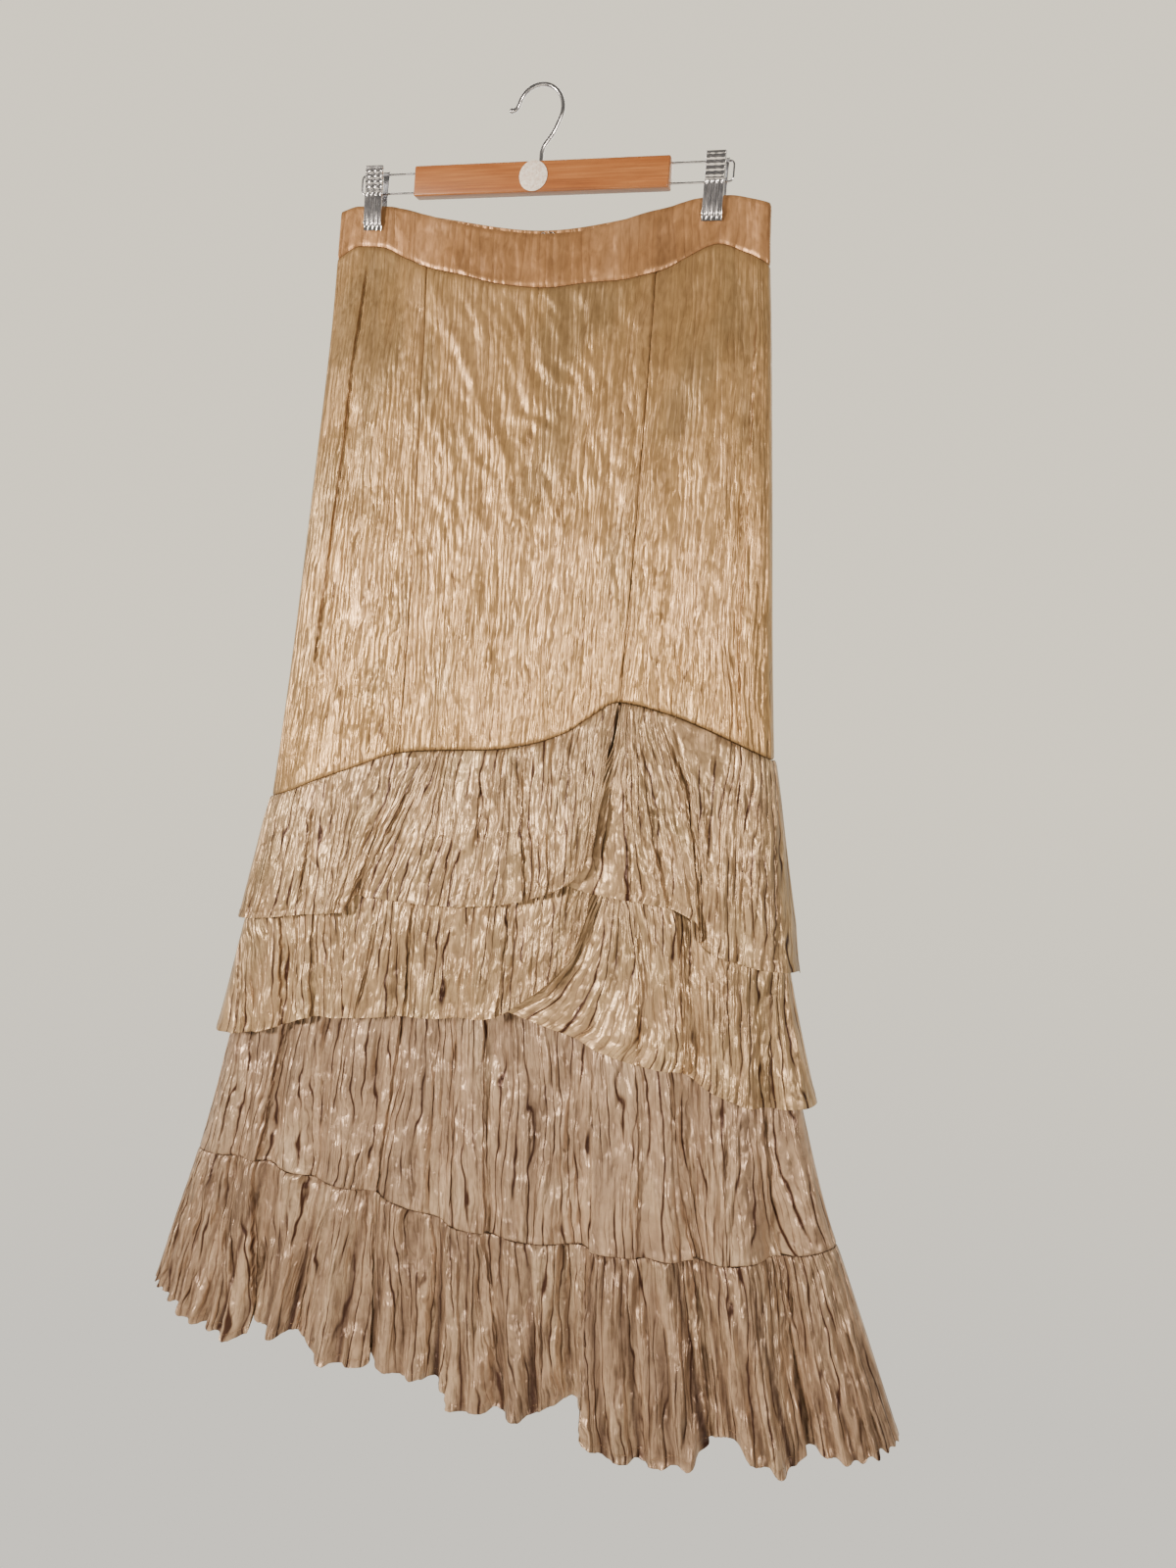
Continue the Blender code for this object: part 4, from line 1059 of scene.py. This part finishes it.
# %% [markdown]
# ## The flounces
# A flounce is cut wider than its seam, gathered into it and left free below.
# Its lift grows from the seam to the hem, so it stands off the skirt. The
# left pieces lap over the right ones, and their free edges curl up a little,
# which leaves the dark hollow under each of them.

# %% Flounces
CURL = 4.0


def hidden_edge(points):
    """An edge that follows (x, z) points down a piece."""
    top, bottom = points[0][1], points[-1][1]
    by_height = [(z, x) for x, z in points]

    def place_across(v):
        z = between(top, bottom, np.asarray(v, float))
        return across_of(curve(by_height, z), z)
    return place_across


def flounce_shape(row):
    seed, gathers = row.seed, row.gathers

    def shape(s, v):
        across = between(row.left(v), row.right(v), s)
        start = edge_z(row.top, across) - GAP
        z = between(start, edge_z(row.bottom, across), v)
        x = x_of(across, z)
        off = row.flare.stand * np.clip((start - z) / row.flare.drop, 0, 1)**0.8
        if not row.front:
            off = off * (1 - BACK_SHARE * np.cos(across * pi / 2))
        quiet = calm_sides(across)
        calm = quiet
        if row.under:
            lapped = np.clip(1 - s / 0.3, 0, 1)
            off = off * (1 - row.under * lapped * (2 - lapped))
            quiet = quiet * (1 - lapped)
            calm = calm * (1 - 0.75 * lapped)
        elif row.lap:
            quiet = quiet * np.clip((1 - s) / 0.16, 0, 1)
        drop = start - edge_z(row.bottom, across)
        to_top, to_hem = v * drop, (1 - v) * drop
        height, dark = crinkled(FLOUNCE_CRINKLE, x, z, seed)
        puckers = (noise(x / 3.4, z / 24, 700 + seed) * 1.9
                   + noise(x / 7, z / 34, 705 + seed) * 1.6) * np.exp(-to_top / 20)
        height = (height + puckers) * smooth(to_top / 2.5) * smooth(to_hem / 5 + 0.35)
        # painted shade in the hollows of the puckers at the gathered seam
        tuck_shade = smooth(-1.8 * noise(x / 3.4, z / 24, 700 + seed) - 0.3) * np.exp(-to_top / 11)
        lip, slide, line = creased(row.creases, x, z)
        lift = SEAM_LIFT + off + lower_lift(across, z, row.front)
        lift = lift + wave(s, gathers)[0] * gathers.height * v * quiet
        lift = lift - trough_depth(row.troughs, x, v) * quiet + height * calm
        lift = lift + lip * smooth(to_top / 12) * calm + hem_ridge(to_hem)
        lift = lift - 0.8 * hill(to_top, 1.4)
        if row.lap:
            lift = lift + CURL * np.exp(-(1 - s) * row.width / 16) * smooth(to_top / 90)
        slide = as_share(slide * smooth(to_top / 12) * calm, z)
        # painted shade in valleys, creases and tucks, along the seam and in the hem's stitch groove
        dark = darkest(dark * smooth(to_top / 6), line, 0.75 * tuck_shade, 0.6 * hill(to_top, 0.8),
                       0.3 * hill(to_hem - HEM_TURN + 1, 0.8))
        return skirt(across + slide, z, lift, row.front), dark
    return shape


Flounce = namedtuple("Flounce", "node left right top bottom gathers troughs flare front creases "
                                "seed under lap columns rows coarse dense width")
free_1, free_2 = (seam_line(edge, 0) for edge in (TIER_1_FREE, TIER_2_FREE))
FLOUNCES = (
    Flounce("tier_2_front_left", side_left, free_2, TIER_2_SEAM, TIER_2_HEM_LEFT,
            TIER_2_LEFT_GATHERS, TIER_2_LEFT_TROUGHS, TIER_2_FLARE, True, TIER_2_LEFT_CREASES,
            200, 0, True, 176, 52, 3, 0.12, 380),
    Flounce("tier_2_front_right", hidden_edge(TIER_2_UNDER), side_right, TIER_2_SEAM,
            TIER_2_HEM_RIGHT, TIER_2_RIGHT_GATHERS, TIER_2_RIGHT_TROUGHS, TIER_2_FLARE, True,
            TIER_2_RIGHT_CREASES, 250, 0.6, False, 150, 56, 4, 0.15, 290),
    Flounce("tier_1_front_left", side_left, free_1, FIRST_SEAM, TIER_1_HEM_LEFT,
            TIER_1_LEFT_GATHERS, TIER_1_LEFT_TROUGHS, TIER_1_FLARE, True, TIER_1_LEFT_CREASES,
            0, 0, True, 180, 56, 0, 0, 360),
    Flounce("tier_1_front_right", hidden_edge(TIER_1_UNDER), side_right, FIRST_SEAM,
            TIER_1_HEM_RIGHT, TIER_1_RIGHT_GATHERS, TIER_1_RIGHT_TROUGHS, TIER_1_FLARE, True,
            TIER_1_RIGHT_CREASES, 100, 0.45, False, 110, 62, 0, 0, 200),
    Flounce("tier_1_back", side_left, side_right, FIRST_SEAM_BACK, TIER_1_HEM_BACK,
            TIER_1_BACK_GATHERS, (), TIER_1_FLARE, False, mirrored(TIER_1_LEFT_CREASES[::2]),
            300, 0, False, 130, 40, 0, 0, 530),
    Flounce("tier_2_back", side_left, side_right, TIER_2_SEAM_BACK, TIER_2_HEM_BACK,
            TIER_2_BACK_GATHERS, (), TIER_2_FLARE, False, mirrored(TIER_2_LEFT_CREASES[::2]),
            350, 0, False, 130, 40, 3, 0.12, 570),
)
hem_shapes = {}
for row in FLOUNCES:
    v = row_stops(row.rows, row.coarse, row.dense)
    columns = fitted(row.creases, row.left, row.right, row.top, row.bottom, row.columns,
                     row.width, v)
    shape = flounce_shape(row)
    cloth_piece(row.node, shape, columns, v, "flounce_satin", row.front)
    hem_shapes[row.node] = (shape, row.front)

# %% [markdown]
# ## The hem ruffle
# The ruffle is gathered tightest of all. Its waves are rounder than a sine:
# the sides of each one are pulled together until they nearly touch, which
# gives the dark slits between the folds, deepened with painted shade. The
# six deep folds of the lower skirt go on through it and lift or drop its
# hem where they lap.

# %% Hem ruffle
RUFFLE_SHADE = 0.13         # its folds shade one another, so it is darker all over


def ruffle_shape(top, bottom, gathers, creases, front, seed):
    def shape(s, v):
        across = between(-1, 1, s)
        top_z = edge_z(top, across) - RUFFLE_GAP / 2
        bottom_z = edge_z(bottom, across)
        waves, turn = wave(s, gathers)
        hem_x = x_of(across, bottom_z)
        bottom_z = bottom_z - 1.5 * waves + 1.8 * noise(hem_x / 9, 0 * s, 820) \
            + 1.1 * noise(hem_x / 4, 0 * s, 821)
        z = between(top_z, bottom_z, v)
        x = x_of(across, z)
        quiet = calm_sides(across)
        drop = top_z - bottom_z
        to_top, to_hem = v * drop, (1 - v) * drop
        stand = gathers.height * (0.12 + 0.88 * v) * 1.15
        height, dark = crinkled(RUFFLE_CRINKLE, x, z, seed)
        puckers = noise(x / 3.2, z / 26, 800 + seed) * 2.2 * np.exp(-to_top / 30)
        height = (height + puckers) * smooth(to_top / 2.5) * smooth(to_hem / 5 + 0.4)
        # painted shade in the hollows of the puckers at the gathered seam
        tuck_shade = smooth(-1.8 * noise(x / 3.2, z / 26, 800 + seed) - 0.3) * np.exp(-to_top / 13)
        lip, slide, line = creased(creases, x, z)
        lift = lower_lift(across, z, front) + (waves * stand + height) * quiet
        lift = lift + lip * quiet + hem_ridge(to_hem) - 0.8 * hill(to_top, 1.3)
        squeeze = -0.36 * half_width(z) / gathers.waves * np.sin(2 * turn) * smooth(v * 2.5) / pi
        slide = as_share((slide + squeeze) * quiet, z)
        # painted shade in the slits between the waves
        slit_shade = hill(np.sin(turn) + 1, 0.16) * (0.45 + 0.5 * v)
        slit_shade = darkest(slit_shade * (0.75 + 0.25 * np.sin(0.37 * turn)), 0.75 * tuck_shade)
        dark = darkest(dark * smooth(to_top / 6), line, slit_shade * quiet)
        # painted shade along the seam and in the hem's stitch groove
        dark = darkest(dark + RUFFLE_SHADE, 0.6 * hill(to_top, 0.8),
                       0.35 * hill(to_hem - HEM_TURN + 1, 0.8))
        return skirt(across + slide, z, lift, front), dark
    return shape


for node_name, hem, gathers, creases, front, count, rows in (
        ("hem_ruffle_front", HEM, RUFFLE_GATHERS, RUFFLE_CREASES, True, 430, 52),
        ("hem_ruffle_back", HEM_BACK, RUFFLE_BACK_GATHERS, mirrored(RUFFLE_CREASES[::2]), False,
         220, 34)):
    v = row_stops(rows)
    columns = fitted(creases, side_left, side_right, RUFFLE_SEAM, hem, count, 740, v)
    shape = ruffle_shape(RUFFLE_SEAM, hem, gathers, creases, front, 0 if front else 30)
    cloth_piece(node_name, shape, columns, v, "lower_satin", front)
    hem_shapes[node_name] = (shape, front)

# %% [markdown]
# ## Hem stitching
# A machine stitch is a short thread that dives in at both ends, so one
# stitch is a tiny stretched ball. A loop sets one every three millimetres
# along each hem, on the surface that the hem's own shape gives.

# %% Stitches
STITCH_LENGTH, STITCH_WIDTH, STITCH_PITCH, STITCH_STAND = 2.1, 0.42, 3.0, 0.12


def thread_material():
    """Polyester sewing thread: matt, a little darker than the cloth."""
    material, tree, shader = new_material("polyester_thread", Roughness=0.65, Sheen_Weight=0.2)
    place = add(tree, "TexCoord").outputs["Object"]
    twist = patterned(tree, place, (0.5, 0.5, 0.5), 1.0)
    tree.links.new(ramp(tree, twist, (0.35, "8a6a4a"), (0.65, "a9865f")),
                   shader.inputs["Base Color"])
    return material


thread = thread_material()


def stitch_hem(node_name, shape, front):
    """One joined mesh of stitches along a hem."""
    fine = np.linspace(0.004, 0.996, 1600)
    seam_z, hem_z = (shape(np.full((1, 1), 0.5), np.full((1, 1), v))[0][0, 0, 2]
                     for v in (0.0, 1.0))
    v_line = 1 - (HEM_TURN - 1) / (seam_z - hem_z)
    line = shape(fine[None, :], np.full((1, len(fine)), v_line))[0][0]
    run = np.concatenate([[0], np.cumsum(np.linalg.norm(np.diff(line, axis=0), axis=1))])
    starts = np.arange(1.0, run[-1] - STITCH_PITCH, STITCH_PITCH)
    heads = np.stack([np.interp(starts, run, line[:, k]) for k in range(3)], axis=-1)
    tails = np.stack([np.interp(starts + STITCH_LENGTH, run, line[:, k]) for k in range(3)], -1)
    out = Vector((0, -1 if front else 1, 0))
    bm = bmesh.new()
    for head, tail in zip(heads, tails):
        head, tail = Vector(head), Vector(tail)
        along = (tail - head).normalized()
        up = along.cross(out).normalized()
        frame_of = Matrix((along * STITCH_LENGTH / 2, up * STITCH_WIDTH / 2,
                           along.cross(up) * STITCH_WIDTH / 2)).transposed().to_4x4()
        place = Matrix.Translation((head + tail) / 2 + out * STITCH_STAND) @ frame_of
        bmesh.ops.create_uvsphere(bm, u_segments=6, v_segments=4, radius=1,
                                  matrix=Matrix.Scale(MM, 4) @ place)
    bmesh.ops.recalc_face_normals(bm, faces=bm.faces[:])
    name = node_name + "_stitches"
    stitches = in_scene(name, smooth_mesh(bm, name, thread))
    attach(stitches, "root")
    print(stitches.name, len(starts), "stitches")
    return stitches


stitched = {name: stitch_hem(name, *shape) for name, shape in hem_shapes.items()}

# %% [markdown]
# ## Wood and metal
# The bar is beech or a like pale wood under an orange-brown varnish: the
# grain runs along it and the varnish is a clear coat over it. The wires and
# clips are chrome plate on steel, a mirror with a faint smear.

# %% Hanger materials
def varnished_wood():
    material, tree, shader = new_material("varnished_beech", IOR=1.5, Coat_Weight=0.5,
                                          Coat_Roughness=0.18)
    place = add(tree, "TexCoord").outputs["Object"]
    grain = patterned(tree, place, (60, 1.1, 1.6), 4.0, 2.0, 0.3)
    flecks = patterned(tree, place, (5, 0.5, 0.5), 1.0, 5.0)
    broad = patterned(tree, place, (90, 9, 12), 2.0, 9.0)
    colour = ramp(tree, grain, (0.3, "8f5a31"), (0.52, "a66c3e"), (0.72, "b67d4c"))
    warm = ramp(tree, broad, (0.35, "c9a27c"), (0.65, "ffffff"))
    colour = blend_colours(tree, 0.5, colour, warm, "MULTIPLY")
    dots = spread(tree, flecks, 0.66, 0.74, 0.0, 0.35)
    colour = blend_colours(tree, dots, colour, linear("7a4a24"))
    tree.links.new(colour, shader.inputs["Base Color"])
    tree.links.new(spread(tree, grain, 0.3, 0.7, 0.42, 0.3), shader.inputs["Roughness"])
    bump = add(tree, "Bump", {"Height": grain, "Strength": 0.12, "Distance": 0.3 * MM})
    tree.links.new(bump.outputs[0], shader.inputs["Normal"])
    return material


def plated(name, colour, low, high):
    """Polished plate: mirror-like, with faint smears that dull it here and there."""
    material, tree, shader = new_material(name, Metallic=1.0)
    place = add(tree, "TexCoord").outputs["Object"]
    smears = patterned(tree, place, (4, 4, 9), 3.0, 1.0)
    tone = ramp(tree, smears, (0.3, colour), (0.7, "e6e6ea"))
    tree.links.new(tone, shader.inputs["Base Color"])
    tree.links.new(spread(tree, smears, 0.3, 0.7, low, high), shader.inputs["Roughness"])
    return material


def pearl_paper():
    """The blank sticker: pearly coated paper."""
    material, tree, shader = new_material("pearl_paper", Coat_Weight=0.4, Coat_Roughness=0.2,
                                          Sheen_Weight=0.2)
    place = add(tree, "TexCoord").outputs["Object"]
    clouds = patterned(tree, place, (3.5, 3.5, 3.5), 3.0, 4.0, 1.5)
    tree.links.new(ramp(tree, clouds, (0.35, "d8c6b8"), (0.5, "e9dfd4"), (0.65, "f6f2ea")),
                   shader.inputs["Base Color"])
    tree.links.new(spread(tree, clouds, 0.3, 0.7, 0.3, 0.45), shader.inputs["Roughness"])
    return material


# A piece is named for its node and its finish. The finish gives its material, and each finish also
# holds a slot name.
Finish = namedtuple("Finish", "material slot")
FINISHES = {
    "wood": Finish(varnished_wood(), "wood"),
    "chrome": Finish(plated("chrome_plate", "d8d9de", 0.16, 0.26), "chrome"),
    "steel": Finish(plated("nickel_steel", "a59d92", 0.25, 0.4), "steel"),
    "blank": Finish(pearl_paper(), "sticker"),
}
print("hanger finishes ready")

# %% [markdown]
# ## The hanger's bar, sticker and wires
# A bar is a box with rounded edges. A sticker is a thin disc whose rim is
# bevelled. A bent wire is a curve with a round section, turned to a mesh.

# %% Bar, sticker and wires
BAR_LENGTH, BAR_HEIGHT, BAR_DEPTH, BAR_Z = 240.0, 26.6, 12.0, -78.5
HOOK_WIRE, HOOK_LOOP, RAIL_WIRE = 4.0, 21.0, 2.0
STICKER_RADIUS, STICKER_THICK, STICKER_X = 13.2, 0.5, -4.0
RAIL_Z, RAIL_END, RAIL_CORNER = (-70.0, -87.0), 175.0, 4.0


def show(bm, node_name, finish, sharp=60):
    """Turns a bmesh in millimetres to a finished piece of the hanger."""
    name = f"{node_name}_{finish}"
    bmesh.ops.scale(bm, vec=(MM, MM, MM), verts=bm.verts)
    mesh = smooth_mesh(bm, name, FINISHES[finish].material)
    mesh.set_sharp_from_angle(angle=radians(sharp))
    piece = in_scene(name, mesh)
    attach(piece, "root")
    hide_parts(node_name)
    print(name, len(mesh.polygons), "faces")


def bar():
    bm = bmesh.new()
    bmesh.ops.create_cube(bm, size=1)
    bmesh.ops.scale(bm, vec=(BAR_LENGTH, BAR_DEPTH, BAR_HEIGHT), verts=bm.verts)
    bmesh.ops.bevel(bm, geom=bm.edges[:], offset=1.6, segments=4, profile=0.5, affect="EDGES",
                    material=-1)
    bmesh.ops.translate(bm, vec=(0, 0, BAR_Z), verts=bm.verts)
    show(bm, "hanger_bar", "wood", 35)


def sticker():
    bm = bmesh.new()
    bmesh.ops.create_cone(bm, cap_ends=True, segments=72, radius1=STICKER_RADIUS,
                          radius2=STICKER_RADIUS, depth=STICKER_THICK)
    rim = [edge for edge in bm.edges if len(edge.link_faces) == 2
           and any(len(face.verts) > 4 for face in edge.link_faces)]
    bmesh.ops.bevel(bm, geom=rim, offset=0.18, segments=2, profile=0.5, affect="EDGES",
                    material=-1)
    bmesh.ops.rotate(bm, matrix=Matrix.Rotation(pi / 2, 3, "X"), verts=bm.verts)
    front = -BAR_DEPTH / 2 - GAP - STICKER_THICK / 2
    bmesh.ops.translate(bm, vec=(STICKER_X, front, BAR_Z), verts=bm.verts)
    show(bm, "hanger_sticker", "blank", 35)


def bent_wire(points, diameter, sides=20):
    """A tube along points, swept by a curve with a round section."""
    path = bpy.data.curves.new("wire", "CURVE")
    path.dimensions = "3D"
    path.bevel_depth, path.bevel_resolution = diameter / 2, sides // 4
    path.use_fill_caps = True
    spline = path.splines.new("POLY")
    spline.points.add(len(points) - 1)
    for point, place in zip(spline.points, points):
        point.co = (*place, 1)
    bent = bpy.data.objects.new("wire", path)
    swept = bpy.data.meshes.new_from_object(bent)
    bm = bmesh.new()
    bm.from_mesh(swept)
    bmesh.ops.remove_doubles(bm, verts=bm.verts, dist=0.001)
    bmesh.ops.recalc_face_normals(bm, faces=bm.faces[:])
    bpy.data.objects.remove(bent)
    bpy.data.curves.remove(path)
    bpy.data.meshes.remove(swept)
    return bm


def arc(centre, radius, start, end, steps, y=0.0):
    turns = np.radians(np.linspace(start, end, steps + 1))
    return [(centre[0] + radius * cos(t), y, centre[1] + radius * sin(t)) for t in turns]


def smooth_route(points, count):
    """More points on a smooth curve through a few."""
    points = np.array(points, float)
    knots = np.concatenate([[0], np.cumsum(np.linalg.norm(np.diff(points, axis=0), axis=1))])
    at = np.linspace(0, knots[-1], count)
    return [tuple(float(curve(list(zip(knots, points[:, k])), place)) for k in range(3))
            for place in at]


def hook():
    bar_top = BAR_Z + BAR_HEIGHT / 2
    loop_x, loop_z = -4.0, HOOK_WIRE / 2 - HOOK_LOOP
    stem = [(0, 0, bar_top + GAP), (0, 0, bar_top + 8), (1.5, 0, bar_top + 14),
            (5, 0, bar_top + 19), (10, 0, bar_top + 26)]
    loop = arc((loop_x, loop_z), HOOK_LOOP, -20, 165, 40)
    tip = [(loop_x - HOOK_LOOP - 2, 0, loop_z + 0.5), (loop_x - HOOK_LOOP - 6, 0, loop_z - 0.5)]
    route = smooth_route(stem + loop[:1], 16)[:-1] + loop + smooth_route([loop[-1]] + tip, 5)[1:]
    bm = bent_wire(route, HOOK_WIRE)
    bmesh.ops.create_uvsphere(bm, u_segments=20, v_segments=12, radius=HOOK_WIRE * 0.62,
                              matrix=Matrix.Translation(tip[-1]))
    show(bm, "hanger_hook", "chrome")


def rail(side, name):
    start, (high, low), corner_x = BAR_LENGTH / 2 + GAP, RAIL_Z, RAIL_END - RAIL_CORNER
    bend = arc((corner_x, high - RAIL_CORNER), RAIL_CORNER, 90, 0, 8)
    bend += arc((corner_x, low + RAIL_CORNER), RAIL_CORNER, 0, -90, 8)
    points = [(start, 0, high)] + bend + [(start, 0, low)]
    bm = bent_wire([(side * x, y, z) for x, y, z in points], RAIL_WIRE, 14)
    show(bm, "clip_rail_" + name, "chrome")


bar()
sticker()
hook()
for side, name in ((-1, "left"), (1, "right")):
    rail(side, name)

# %% [markdown]
# ## The spring clips
# A clip's front jaw is one pressed strip: wavy ridges for the fingers at its
# top, upright flutes that stiffen it below them, and a lip that grips the
# band. The back jaw is plain. Between them a coil spring sits on the wire.

# %% Clips
CLIP_WIDTH, CLIP_SHEET = 18.0, 1.0
JAW = ((-64.5, 4.9), (-72, 4.1), (-84, 3.1), (-92, 2.9), (-104, 2.5), (-113, 1.4), (-117, 0.5),
       (-119.5, 0.5))
RIDGES, RIDGE_DEPTH, RIDGE_END = 5, 0.8, -87.0
FLUTES, FLUTE_DEPTH = 4, 1.1
TEETH, TOOTH_DEPTH = 9, 0.5


def jaw(centre, name, front):
    top, bottom = JAW[0][0], JAW[-1][0]
    columns, rows = (72, 110) if front else (24, 60)
    bm = bmesh.new()
    bmesh.ops.create_grid(bm, x_segments=columns, y_segments=rows, size=0.5)
    for vertex in bm.verts:
        s, v = vertex.co.x + 0.5, 0.5 - vertex.co.y
        z = between(top, bottom, v)
        side = abs(2 * s - 1)
        relief = 0.0
        if front and z > RIDGE_END:
            waves = cos((z - top) / (RIDGE_END - top) * RIDGES * 2 * pi)
            relief = RIDGE_DEPTH * waves * (1 - 0.35 * sin(s * pi * 3)**2)
        elif front:
            flute = cos(s * FLUTES * 2 * pi)
            relief = FLUTE_DEPTH * flute * min(1.0, (RIDGE_END - z) / 2.5)
        relief *= float(np.clip((z - bottom) / 5, 0, 1) * np.clip((top - z) / 2, 0, 1))
        turned_in = 1.6 * max(0.0, (side - 0.9) / 0.1)**2 if z > -112 else 0.0
        y = CLIP_BITE + float(curve(JAW, z)) + CLIP_SHEET + relief - turned_in
        if v > 0.985 and front:
            z -= TOOTH_DEPTH * (0.5 + 0.5 * cos(s * TEETH * 2 * pi))
        vertex.co = (centre + CLIP_WIDTH * (s - 0.5), -y if front else y, z)
    if not front:
        bmesh.ops.reverse_faces(bm, faces=bm.faces[:])
    bmesh.ops.solidify(bm, geom=bm.faces[:], thickness=0.8)
    end = "front" if front else "back"
    show(bm, f"clip_jaw_{end}_{name}", "chrome")


def spring(centre, name):
    """A coil of wire round the rail's lower wire."""
    turns, coil_wire, coil_radius, length = 6, 1.0, 2.6, CLIP_WIDTH * 0.6
    steps = turns * 16
    points = [(centre + length * (i / steps - 0.5), coil_radius * cos(i / 16 * 2 * pi),
               RAIL_Z[1] + coil_radius * sin(i / 16 * 2 * pi)) for i in range(steps + 1)]
    bm = bent_wire(points, coil_wire, 8)
    show(bm, "clip_spring_" + name, "chrome")


for side, name in ((-1, "left"), (1, "right")):
    jaw(side * CLIP_X, name, True)
    jaw(side * CLIP_X, name, False)
    spring(side * CLIP_X, name)

# %% [markdown]
# ## Hook and eye
# The back opening closes at its top with a flat hook and an eye of bent
# wire, sewn inside the band. Two small wire loops stand for them.

# %% Hook and eye
def hook_and_eye():
    low, high = (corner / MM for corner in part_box("hook_and_eye"))
    middle = (low + high) / 2
    wide, tall = high.x - low.x, high.z - low.z
    bm = bmesh.new()
    for side, share in ((-1, 0.42), (1, 0.5)):
        centre = middle.x + side * wide * 0.25
        radius = tall * share * 0.8
        loop = [(centre + radius * 1.3 * cos(t), middle.y, middle.z + radius * sin(t))
                for t in np.linspace(0.4, 2 * pi - 0.4, 22)]
        piece = bent_wire(loop, 0.8, 8)
        scratch = bpy.data.meshes.new("loop")
        piece.to_mesh(scratch)
        piece.free()
        bm.from_mesh(scratch)
        bpy.data.meshes.remove(scratch)
    show(bm, "hook_and_eye", "steel")


hook_and_eye()

# %% [markdown]
# ## What each piece of cloth was cut to
# Cloth can't stretch, so a gathered piece was once a larger flat one. The
# mesh has its real folds, so its rows and columns measure that cut.

# %% Cuts
for name, cut in cuts.items():
    node_name = name.removesuffix("_satin")
print("cloth in all:", round(sum(cut.area for cut in cuts.values()), 2), "square metres")

# %% [markdown]
# ## Light and floor
# A soft light at the left, level with the hips as from a window, rakes
# across the cloth and brings out its crinkles. A weaker one at the right
# opens the shadows, and a broad one high behind the skirt lights its back.
# The world is pale, and darker behind the camera so that the chrome has
# something to mirror. The floor lies far below the hem, outside the
# camera's view, because the skirt hangs high.

# %% Light and floor
def area_light(name, place, target, size, power, colour):
    data = bpy.data.lights.new(name, "AREA")
    data.shape = "RECTANGLE"
    data.size, data.size_y = size
    data.energy = power
    data.color = linear(colour)[:3]
    lamp = in_scene(name, data)
    lamp.location = place
    lamp.rotation_euler = (Vector(target) - Vector(place)).to_track_quat("-Z", "Y").to_euler()


MIDDLE = (0.05, 0, -0.62)   # of the skirt
area_light("window", (-2.2, -2.1, -0.3), MIDDLE, (0.35, 0.6), 140, "fff0de")
area_light("lamp", (1.7, -2.0, -0.4), MIDDLE, (0.4, 0.5), 58, "ffeedb")
area_light("back", (-0.6, 2.6, 0.9), (0, 0.5, -1.1), (2.2, 2.2), 60, "fff8f0")

STUDIO_STRENGTH = 1.27
world = bpy.data.worlds.new("studio")
world.use_nodes = True
tree = world.node_tree
direction = add(tree, "TexCoord").outputs["Generated"]
parts = add(tree, "SeparateXYZ", {0: direction})
behind = spread(tree, parts.outputs["Y"], 0.0, 0.55)
studio = ramp(tree, behind, (0.0, "5c5954"), (1.0, "faf0da"))
height = spread(tree, parts.outputs["Z"], -0.5, -0.05)
downwards = ramp(tree, height, (0.0, "e6eaf4"), (1.0, "ffffff"))
studio = blend_colours(tree, 1.0, studio, downwards, "MULTIPLY")
background = tree.nodes["Background"]
tree.links.new(studio, background.inputs["Color"])
background.inputs["Strength"].default_value = STUDIO_STRENGTH
bpy.context.scene.world = world

FLOOR_Z, FLOOR_HALF, FLOOR_FORWARD = -1.9, 1.2, 1.0
bm = bmesh.new()
bmesh.ops.create_grid(bm, x_segments=1, y_segments=1, size=FLOOR_HALF)
bmesh.ops.translate(bm, vec=(0, -FLOOR_FORWARD, FLOOR_Z), verts=bm.verts)
floor_material, tree, shader = new_material("painted_board", Roughness=0.8)
specks = patterned(tree, add(tree, "TexCoord").outputs["Object"], (260, 260, 260), 3.0)
tree.links.new(ramp(tree, specks, (0.3, "e0ddd4"), (0.7, "e6e3da")), shader.inputs["Base Color"])
floor = in_scene("floor", smooth_mesh(bm, "floor", floor_material))
print("floor", FLOOR_Z, "m below the hook")
